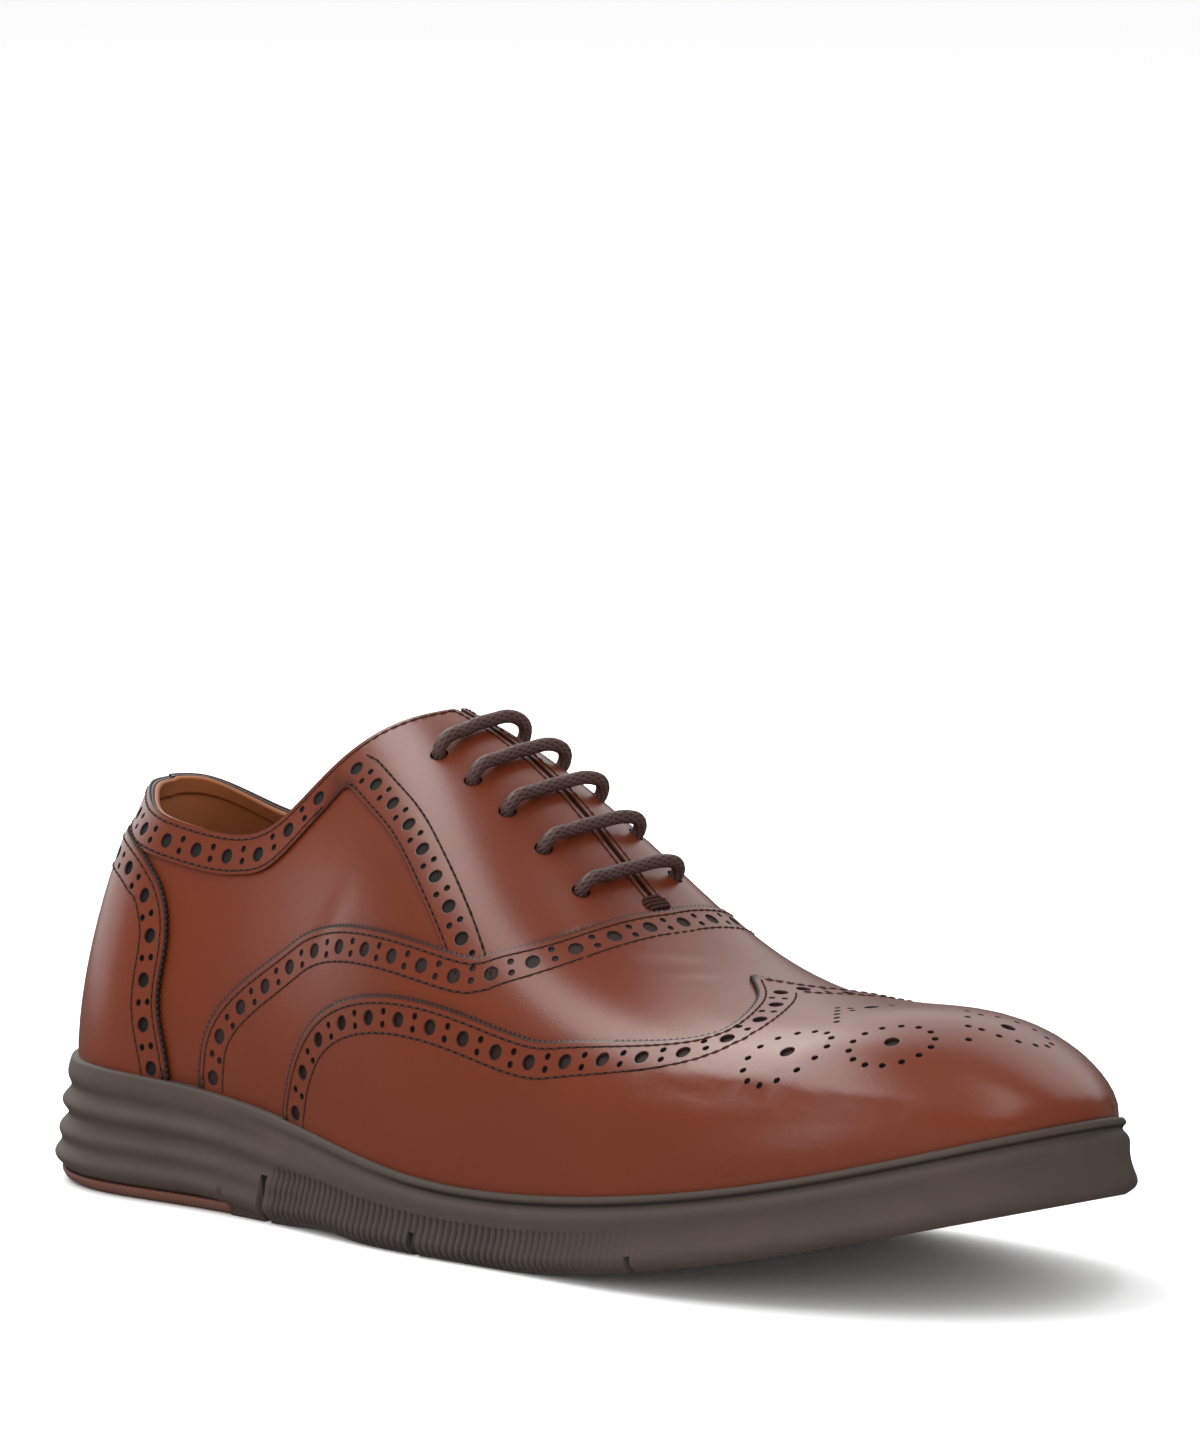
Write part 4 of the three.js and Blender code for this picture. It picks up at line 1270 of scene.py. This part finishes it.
def halves_of(line):
    """The outer and the inner half of a line that meets the crown line in its middle."""
    half = len(line) // 2
    return (-1, line[:half + 1]), (1, line[half:])


def inset(pattern, line, side, distance, pitch=LINE_STEP):
    """The half line moved to its right by a distance in mm, kept on its own side."""
    moved = beside(pattern, even(pattern, line, pitch), -distance * MM)
    return moved[moved[:, 1] * side > 0.0003]


class SHOE_OT_wing(bpy.types.Operator):
    """Wing cap with its pinked edge, holes, medallion and stitches"""
    bl_idname = "shoe.wing"
    bl_label = "Wing cap"

    def execute(self, context):
        ground, _ = shoe()
        front, upper = ground.front, ground.upper
        line, start = ground.edge_on_front(WING_EDGE)
        edge, rims, rows, large, small = [], [], [], [], []
        for side, part in halves_of(line):
            edge.append(pinked(front, part, upper.pinking, -TOOTH))
            rims.append(inset(front, part, side, RIM_INSET, 0.0015)[1:-2])
            rows.extend(inset(front, part, side, distance) for distance in STITCH_INSETS)
            holes, pairs = brogue(front, inset(front, part, side, HOLE_INSET)[1:-1], upper)
            large.append(holes)
            small.append(pairs)
        outline = joined(*edge, front.lay(np.linspace(start, 1, 90), 1, -FOOT_TUCK),
                         front.lay(np.linspace(1, start, 90), -1, -FOOT_TUCK))
        medal_large, medal_small = medallion(ground)
        large = apart(front, np.concatenate([*large, medal_large]), 0.004)
        small = apart(front, np.concatenate([*small, medal_small]), 0.0026, large)
        add_punched("wing_panel", "wing_stitches", front, "wing", "cap_leather",
                    (outline, rims, rows, large, small), ("wing_cap",), floor_tone=0.85,
                    edge_tone=0.8)
        return {"FINISHED"}


# Punched figure on the toe, in mm seen from above: large holes, each with the half lengths of
# its ring, and rows of small holes between them.
FIGURE_HOLES = [(202.5, -29.3, 9.6, 7.2), (223.4, -18.1, 9.3, 7.0), (232.6, 8.2, 9.3, 7.4),
                (200.5, -1.5, 4.6, 6.4), (214.5, 29.5, 9.0, 6.6)]
FIGURE_ROWS = [(194, -5.6, 203.5, -15.2), (216, 12.5, 234.7, -6.1)]
FIGURE_BEARING = math.radians(45)


def medallion(ground):
    """A traditional punched figure on the toe: large holes, each ringed by small ones, and short
    rows between the rings."""
    holes = np.array(FIGURE_HOLES) * MM
    angle = np.linspace(0, 2 * np.pi, 14, endpoint=False)
    long = np.array([math.cos(FIGURE_BEARING), math.sin(FIGURE_BEARING)])
    short = np.array([-long[1], long[0]])
    rings = (holes[:, None, :2] + holes[:, 2, None, None] * np.cos(angle)[:, None] * long
             + holes[:, 3, None, None] * np.sin(angle)[:, None] * short)
    rows = np.array(FIGURE_ROWS) * MM
    step = np.linspace(0, 1, 5)[:, None]
    dots = rows[:, None, :2] * (1 - step) + rows[:, None, 2:] * step
    small = np.concatenate([dots.reshape(-1, 2), rings.reshape(-1, 2)])
    return xy_place(ground, holes[:, :2]), xy_place(ground, small)


def xy_place(ground, points):
    """Front pattern places of points of the toe seen from above."""
    last, front = ground.last, ground.front
    x, y = points[:, 0], points[:, 1]
    place = points.copy()
    for _ in range(12):
        found = front.to_last(place)
        place = place + np.stack([x - found[:, 0], y - found[:, 1]], -1)
    return place


def lining_shell(ground):
    """The lining as rings round the shoe: up its outer face, over the rim and down the inner
    face, with a thicker strip and a seam below the rim. Tone marks the seam."""
    last = ground.last
    half = 110
    p = np.concatenate([np.linspace(0, 1, half, endpoint=False),
                        np.linspace(1, 0, half, endpoint=False)])
    side = np.repeat([-1, 1], half)
    top = np.ones(len(p))
    for value in (-1, 1):
        own = side == value
        cut = ground.upper_edge(p[own], value, ground.upper.throat_gap / 2 + 0.3 * MM)
        top[own] = np.where(share_at(p[own]) < ground.throat_share, cut, 1)
    rise = np.concatenate([np.linspace(0.02, 0.84, 12), np.linspace(0.86, 1, 34)])
    up = rise[:, None] * top
    outer = offset_points(last, p, side, up, -1.75 * MM)
    rim = offset_points(last, p, side, top[None], -2.2 * MM)
    rim[..., 2] += 0.25 * MM
    bare = offset_points(last, p, side, up[::-1], -2.5 * MM)
    below = bare[:1, :, 2] - bare[..., 2]
    strip = 1 - smoothstep(below, 3.6 * MM, 4.0 * MM)
    inner = offset_points(last, p, side, up[::-1], -2.5 * MM - 0.5 * MM * strip[..., None])
    seam = 0.7 * np.exp(-((below - 4.1 * MM) / (0.35 * MM)) ** 2) + 0.12 * strip
    points = np.concatenate([outer, rim, inner])
    tone = np.concatenate([np.zeros(outer.shape[:2]), np.zeros(rim.shape[:2]), seam]).ravel()
    faces = [grid_faces(len(points), 2 * half, wrap_rows=True, wrap_columns=True)]
    return points.reshape(-1, 3), faces, tone


def sock(last):
    """The insole's sheet inside the feather line, hollowed a little along its middle."""
    across = np.linspace(-1, 1, 17)[:, None]
    p = np.linspace(0, 1, 90)
    outer, inner = [offset_points(last, p, np.full(90, side), np.zeros(90), -3.0 * MM)
                    for side in (-1, 1)]
    top = (outer + inner) / 2 + (inner - outer) / 2 * across[..., None]
    bed = top.copy()
    top[..., 2] += 3.5 * MM + 1.2 * MM * across ** 2
    return np.concatenate([top, bed[::-1]]).reshape(-1, 3), [grid_faces(34, 90, wrap_rows=True)]


class SHOE_OT_lining(bpy.types.Operator):
    """Lining of the whole shoe and the insole"""
    bl_idname = "shoe.lining"
    bl_label = "Lining and insole"

    def execute(self, context):
        ground, finishes = shoe()
        points, faces, tone = lining_shell(ground)
        add_piece("lining", points, faces, finishes.get("lining"), tone)
        points, faces = sock(ground.last)
        add_piece("insole_sock", points, faces, finishes.get("lining"),
                  replaced=("insole",))
        return {"FINISHED"}


def offset_points(last, p, side, up, offset):
    """Points at an offset outside the last, from differences of the section function. The
    offset is level at the feather line and has no sideways part at the toe and the heel."""
    step = 0.003
    p, side, up = np.broadcast_arrays(np.asarray(p, float), side, up)
    ahead = last.point(np.minimum(p + step, 1), side, up)
    behind = last.point(np.maximum(p - step, 0), side, up)
    above = last.point(p, side, np.minimum(up + step, 1))
    below = last.point(p, side, up - step)
    normal = np.cross(ahead - behind, above - below) * -side[..., None]
    ends = np.where(((p <= 0) | (p >= 1))[..., None], [1, 0, 1], 1)
    foot = np.where((up <= 0)[..., None], [1, 1, 0], 1)
    return last.point(p, side, up) + unit(normal * ends * foot) * offset


class SHOE_OT_tongue(bpy.types.Operator):
    """Tongue under the facings"""
    bl_idname = "shoe.tongue"
    bl_label = "Tongue"

    def execute(self, context):
        ground, finishes = shoe()
        front = ground.front
        x = np.linspace(0.107, 0.18, 40) - ground.last.size.heel_seat
        y = np.linspace(-0.017, 0.017, 26)
        place = np.stack(np.meshgrid(x, y), -1)
        top = front.skin(place, -3.0 * MM)
        bed = front.skin(place[::-1], -5.2 * MM)
        points = np.concatenate([top, bed]).reshape(-1, 3)
        faces = [grid_faces(52, 40, wrap_rows=True)]
        add_piece("tongue_pad", points, faces, finishes.get("upper_leather"),
                  replaced=("tongue",))
        return {"FINISHED"}


class SHOE_OT_laces(bpy.types.Operator):
    """Five straight bars of waxed lace"""
    bl_idname = "shoe.laces"
    bl_label = "Laces"

    def execute(self, context):
        ground, finishes = shoe()
        size = ground.lace
        lift = size.lace_radius + size.lift
        up = EYELET_UP
        stops = np.array([
            [-1, up, -1.2 * MM], [-1, up, 0.4 * MM], [-1, up + 0.03, lift + 0.5 * MM],
            [-1, up + 0.09, lift], [-1, 0.94, lift], [1, 1, lift + 0.2 * MM],
            [1, 0.94, lift + size.arch * 0.6], [1, up + 0.09, lift + size.arch],
            [1, up + 0.03, lift + size.arch * 0.7], [1, up, 0.4 * MM], [1, up, -1.2 * MM],
        ])
        for index, station in enumerate(ground.eyelet_stations()):
            knots = offset_points(ground.last, np.full(len(stops), station), stops[:, 0],
                                  stops[:, 1], stops[:, 2, None])
            points, faces, tone = braid(smooth_line(knots, 190), size.lace_radius)
            add_piece(f"lace_{index + 1}", points, faces, finishes.get("lace"),
                      tone, replaced=(f"lace_bar_{index + 1}",))
        return {"FINISHED"}


class SHOE_OT_bar_tack(bpy.types.Operator):
    """Thread wrapped over the closed end of the slit"""
    bl_idname = "shoe.bar_tack"
    bl_label = "Bar tack"

    def execute(self, context):
        ground, finishes = shoe()
        front, upper = ground.front, ground.upper
        end = ground.last.place(ground.throat_share)
        across = np.linspace(-1, 1, 24)
        lift = (0.35 - 1.1 * across ** 8) * MM
        points, faces, tones = [], [], []
        start = 0
        for step, reach in ((-2.4, 2.7), (-1.5, 3.5), (-0.6, 3.6), (0.3, 3.2)):
            place = np.stack([np.full(24, end + step * MM), (across * reach - 0.4) * MM], -1)
            path = front.skin(place, lift)
            wrap, sides, tone = braid(path, upper.thread * 0.9)
            points.append(wrap)
            faces.extend(face + start for face in sides)
            # The braid's painted shade between strands, made lighter here.
            tones.append(tone * 0.6)
            start += len(wrap)
        add_piece("bar_tack", np.concatenate(points), faces, finishes.get("thread"),
                  np.concatenate(tones))
        return {"FINISHED"}


def braid(path, radius):
    """A round braid along the path: the radius swells where two families of turning strands
    cross over, as max(cos(k a + m s), cos(k a - m s)). Its tone is painted shade in the grooves
    between the strands."""
    around = 32
    ahead = unit(np.gradient(path, axis=0))
    side = unit(np.cross(ahead, [0.0, 0.0, 1.0]))
    up = np.cross(side, ahead)
    run = run_along(path)[:, None]
    angle = np.linspace(0, 2 * np.pi, around, endpoint=False)[None]
    turns = run / (radius * 1.1)
    strand = np.maximum(np.cos(8 * angle + 4 * turns), np.cos(8 * angle - 4 * turns))
    reach = radius * (0.96 + 0.04 * strand)
    ends = np.ones_like(run)
    ends[[0, -1]] = 0.05
    ring = (np.cos(angle) * reach * ends)[..., None] * side[:, None]
    ring = ring + (np.sin(angle) * reach * ends)[..., None] * up[:, None]
    points = (path[:, None] + ring).reshape(-1, 3)
    caps = np.arange(around)
    faces = [grid_faces(len(path), around, wrap_columns=True)[:, ::-1], caps[None],
             caps[None, ::-1] + (len(path) - 1) * around]
    # Tone: painted shade where the strands part.
    return points, faces, np.clip(0.4 - 0.45 * strand, 0, 0.55).ravel()


class SHOE_OT_sole(bpy.types.Operator):
    """Unit sole with its heel waves, side ribs, slots and heel pad"""
    bl_idname = "shoe.sole"
    bl_label = "Sole"

    def execute(self, context):
        ground, finishes = shoe()
        points, faces, tone = sole_body(ground)
        add_piece("unit_sole", points, faces, finishes.get("sole"), tone,
                  replaced=("sole",))
        points, faces = heel_pad(ground)
        add_piece("heel_pad_rubber", points, faces, finishes.get("heel_pad"),
                  replaced=("heel_pad",))
        return {"FINISHED"}


def tread_height(size, share):
    """Underside of the sole above the ground: the toe spring is a power of the share past the
    ball, and the arch is a low squared sine."""
    spring = np.clip((share - 0.575) / 0.425, 0, 1)
    arch = np.where((share > 0.3) & (share < 0.43),
                    np.sin(np.pi * (share - 0.3) / 0.13) ** 2, 0)
    return size.toe_spring * spring ** 1.5 + 1.2 * MM * arch


def edge_out(size, share, up):
    """How far the side of the sole stands out past the feather line: the heel's profile turns
    into the toe's along the shoe, with four waves round the heel that fade out ahead."""
    heel = spline(SOLE_EDGE[:, 0], SOLE_EDGE[:, 1] * MM)(up)
    toe = spline(SOLE_EDGE[:, 0], SOLE_EDGE[:, 2] * MM)(up)
    forward = smoothstep(share, 0.15, 0.5)
    fade = 1 - smoothstep(share, 0.12, 0.42)
    body = np.sin(np.pi * np.clip((up - 0.06) / 0.9, 0, 1)) ** 0.5
    wave = np.cos(2 * np.pi * (4 * up - 0.45))
    return heel * (1 - forward) + toe * forward + size.wave * fade * body * wave


def sole_rings(last, p, side, out, height):
    """Rows of points round the feather line, moved out level and set to a height."""
    foot = last.foot(p, side)
    level = offset_points(last, p, side, np.zeros(len(p)), 1.0) - foot
    points = foot[None] + level[None] * out[..., None]
    points[..., 2] = height
    return points


def lids(half, columns, rows):
    """Faces across the first ring, from below, and across the last, from above. Their strips run
    from one side to the other and may start and end in a triangle."""
    i = np.arange(half)
    under = np.stack([i, (columns - i) % columns, columns - i - 1, i + 1], -1)
    faces = []
    for quads in (under, under[:, ::-1] + (rows - 1) * columns):
        first = quads[:, 0] == quads[:, 1]
        last = quads[:, 2] == quads[:, 3]
        faces += [quads[~(first | last)], quads[first][:, 1:], quads[last & ~first][:, :3]]
    return faces


def sole_body(ground):
    """The sole as rings, row by row up its side: the side stands out by edge_out at its level,
    less the ribs' cosine; two more rings close the top inside the upper, and lids close both
    ends. Tone is painted shade in the ribs' grooves and in the groove under the lip."""
    last, size = ground.last, ground.sole
    whole = last.size.last_length
    shares = np.sort(np.concatenate([
        share_at(np.linspace(0, 1, 240)),
        *[place + width * MM / whole * np.array([-0.52, -0.5, 0.5, 0.52])
          for place, width, _ in SLOTS],
        np.arange(0.304, 0.9, size.rib_pitch / 6 / whole),
    ]))
    shares = shares[np.concatenate([[True], np.diff(shares) > 1e-5])]
    p_half = turn(shares)
    half = len(p_half) - 1
    p = np.concatenate([p_half[:-1], p_half[:0:-1]])
    side = np.repeat([-1, 1], half)
    share = share_at(p)
    top = last.feather(share) - 0.3 * MM
    tread = tread_height(size, share)
    over_pad = size.pad - 0.1 * MM
    bottom = tread + over_pad * (1 - smoothstep(share, 0.247, 0.252))
    soft = tread + over_pad * (1 - smoothstep(share, 0.2, 0.34))
    notch = np.zeros(len(share))
    for place, width, depth in SLOTS:
        own = np.abs(share - place) * whole < width * MM * 0.505
        notch = np.where(own, depth * MM, notch)
    up = np.linspace(0, 1, 44)[:, None]
    height = np.maximum(bottom + (top - bottom) * up, bottom + notch + 0.3 * MM * up)
    level = np.clip((height - soft) / (top - soft), 0, 1)
    ribbed = (smoothstep(share, 0.305, 0.309) * (1 - smoothstep(share, 0.55, 0.76))
              * smoothstep(level, 0.03, 0.05) * (1 - smoothstep(level, 0.53, 0.57)))
    wave = 0.5 + 0.5 * np.cos(2 * np.pi * share * whole / size.rib_pitch)
    # Painted shade in the rib grooves and in the groove under the lip.
    lip_groove_shade = smoothstep(share, 0.42, 0.5) * np.exp(-((level - 0.885) / 0.025) ** 2)
    tone = np.clip(0.5 * ribbed * wave + 0.9 * lip_groove_shade, 0, 1)
    out = edge_out(size, share[None], level) - size.rib * ribbed * wave
    rings_up = np.concatenate([
        sole_rings(last, p, side, out, height),
        sole_rings(last, p, side, np.array([[-0.5], [-6]]) * MM, top),
    ])
    rows, columns = rings_up.shape[:2]
    faces = [grid_faces(rows, columns, wrap_columns=True), *lids(half, columns, rows)]
    return rings_up.reshape(-1, 3), faces, np.concatenate([tone, np.zeros((2, columns))]).ravel()


def heel_pad(ground):
    """The heel pad: a slab under the heel with a rounded rim."""
    last, size = ground.last, ground.sole
    end = turn(size.pad_length / last.size.last_length)
    p_half = turn(share_at(np.linspace(0, end, 60)))
    p = np.concatenate([p_half, p_half[:0:-1]])
    side = np.where(np.arange(len(p)) < 60, -1, 1)
    level = np.array([0.0, 0.0, 0.35, 0.75, 0.97, 1.0])[:, None] * size.pad
    out = np.array([-1.2, 2.2, 3.8, 4.5, 4.6, 4.0])[:, None] * MM
    points = sole_rings(last, p, side, out, level)
    rows, columns = points.shape[:2]
    return points.reshape(-1, 3), [grid_faces(rows, columns), *lids(59, columns, rows)]


class SHOE_OT_studio(bpy.types.Operator):
    """Pale floor, soft lights and the camera"""
    bl_idname = "shoe.studio"
    bl_label = "Studio"

    def execute(self, context):
        colours = context.scene.shoe_colours
        floor = bpy.data.meshes.new("floor")
        reach = 20.0
        floor.from_pydata([(-reach, -reach, 0), (reach, -reach, 0), (reach, reach, 0),
                           (-reach, reach, 0)], [], [(0, 1, 2, 3)])
        plain = bpy.data.materials.new("floor_finish")
        plain.use_nodes = True
        shader = plain.node_tree.nodes["Principled BSDF"]
        shader.inputs["Base Color"].default_value = (*colours.floor, 1)
        shader.inputs["Roughness"].default_value = 0.9
        shader.inputs["Specular IOR Level"].default_value = 0.1
        floor.materials.append(plain)
        ground = bpy.data.objects.new("floor", floor)
        context.scene.collection.objects.link(ground)
        ground.visible_glossy = False
        light_world(context.scene)
        for name, place, aim, spin, size, radiance in [*LIGHTS, LOW_FILL]:
            data = bpy.data.lights.new(name, "AREA")
            data.shape = "RECTANGLE"
            data.size, data.size_y = size
            data.energy = radiance * math.pi * size[0] * size[1]
            lamp = bpy.data.objects.new(name, data)
            facing = (Vector(aim) - Vector(place)).to_track_quat("-Z", "Y").to_matrix().to_4x4()
            lamp.matrix_world = (Matrix.Translation(place) @ facing
                                 @ Matrix.Rotation(math.radians(spin), 4, "Z"))
            lamp.visible_camera = False
            lamp.visible_glossy = name != LOW_FILL[0]
            context.scene.collection.objects.link(lamp)
        context.scene.view_settings.view_transform = "Standard"
        make_camera(context.scene)
        return {"FINISHED"}


# Soft boxes: name, place, the point faced, turn about the facing axis in degrees, width and
# length, and radiance where 1 is paper white.
LIGHTS = [
    ("left_box", (-0.78, -0.31, 1.55), (-0.78, -0.31, 0), 43, (0.75, 2.3), 4.3),
    ("right_strip", (0.85, -0.28, 1.55), (0.85, -0.28, 0), 43, (0.22, 1.7), 3.5),
    ("side_strip", (0.02, -1.51, 0.65), (0.15, -0.03, 0.05), 0, (0.33, 1.0), 2.2),
    ("back_panel", (-1.05, 1.5, 1.4), (0.15, -0.03, 0.05), 0, (2.6, 2.0), 1.05),
    ("back_core", (-1.25, 0.59, 1.14), (0.15, -0.03, 0.05), 0, (0.7, 0.7), 2.6),
    ("heel_panel", (-1.45, 0.1, 0.3), (0.0, 0.0, 0.05), 0, (1.6, 0.58), 1.3),
]
# Low panel on the camera's side that lights the floor under the toe and hides from reflections.
LOW_FILL = ("low_fill", (0.95, -1.02, 0.28), (0.15, 0, 0), 0, (2.4, 0.5), 1.6)
AMBIENT = 1.02  # radiance of the room for diffuse light
ROOM_GLOSS = 0.13  # radiance of the room in reflections


def light_world(scene):
    """A white room that reflections see as dim, so that only the soft boxes show in the gloss."""
    world = bpy.data.worlds.new("studio")
    world.use_nodes = True
    nodes, links = world.node_tree.nodes, world.node_tree.links
    glossy = nodes.new("ShaderNodeLightPath").outputs["Is Glossy Ray"]
    dimmed = maths(nodes, links, "MULTIPLY", glossy, AMBIENT - ROOM_GLOSS)
    background = nodes["Background"]
    background.inputs["Color"].default_value = (1, 1, 1, 1)
    links.new(maths(nodes, links, "SUBTRACT", AMBIENT, dimmed), background.inputs["Strength"])
    scene.world = world


CAMERA = {"azimuth": 46.14, "elevation": 7.62, "distance": 2.725, "roll": -0.62,
          "target": (0.1132, 0.0, 0.1172), "focal_pixels": 12070.0, "long_side": 1439.0}


def make_camera(scene):
    """Camera from its bearing round a target, with a roll about its own axis."""
    azimuth = math.radians(CAMERA["azimuth"])
    elevation = math.radians(CAMERA["elevation"])
    back = Vector((math.sin(azimuth) * math.cos(elevation),
                   -math.cos(azimuth) * math.cos(elevation), math.sin(elevation)))
    data = bpy.data.cameras.new("view")
    data.sensor_width = 36
    data.lens = CAMERA["focal_pixels"] * 36 / CAMERA["long_side"]
    data.clip_end = 30
    camera = bpy.data.objects.new("view", data)
    turned = (-back).to_track_quat("-Z", "Y").to_matrix().to_4x4()
    roll = Matrix.Rotation(math.radians(CAMERA["roll"]), 4, "Z")
    camera.matrix_world = (Matrix.Translation(Vector(CAMERA["target"]) + back * CAMERA["distance"])
                           @ turned @ roll)
    scene.collection.objects.link(camera)
    scene.camera = camera


OPERATORS = [SHOE_OT_studio, SHOE_OT_sole, SHOE_OT_lining, SHOE_OT_quarters, SHOE_OT_facings,
             SHOE_OT_counter, SHOE_OT_vamp, SHOE_OT_wing, SHOE_OT_tongue, SHOE_OT_laces,
             SHOE_OT_bar_tack]


class SHOE_PT_pieces(bpy.types.Panel):
    """Lists the pieces and their sizes"""
    bl_idname = "SHOE_PT_pieces"
    bl_label = "Wingtip Oxford"
    bl_space_type = "VIEW_3D"
    bl_region_type = "UI"
    bl_category = "Shoe"

    def draw(self, context):
        for group_name in GROUPS:
            group = getattr(context.scene, group_name)
            box = self.layout.box()
            for name in group.__annotations__:
                box.prop(group, name)
        for operator in OPERATORS:
            self.layout.operator(operator.bl_idname)


def register():
    for group in (*GROUPS.values(), *OPERATORS, SHOE_PT_pieces):
        bpy.utils.register_class(group)
    for name, group in GROUPS.items():
        setattr(bpy.types.Scene, name, bpy.props.PointerProperty(type=group))


def unregister():
    for name in GROUPS:
        delattr(bpy.types.Scene, name)
    for group in (SHOE_PT_pieces, *reversed(OPERATORS), *GROUPS.values()):
        bpy.utils.unregister_class(group)


def main():
    register()
    for operator in OPERATORS:
        group, name = operator.bl_idname.split(".")
        getattr(getattr(bpy.ops, group), name)()


if __name__ == "__main__":
    main()
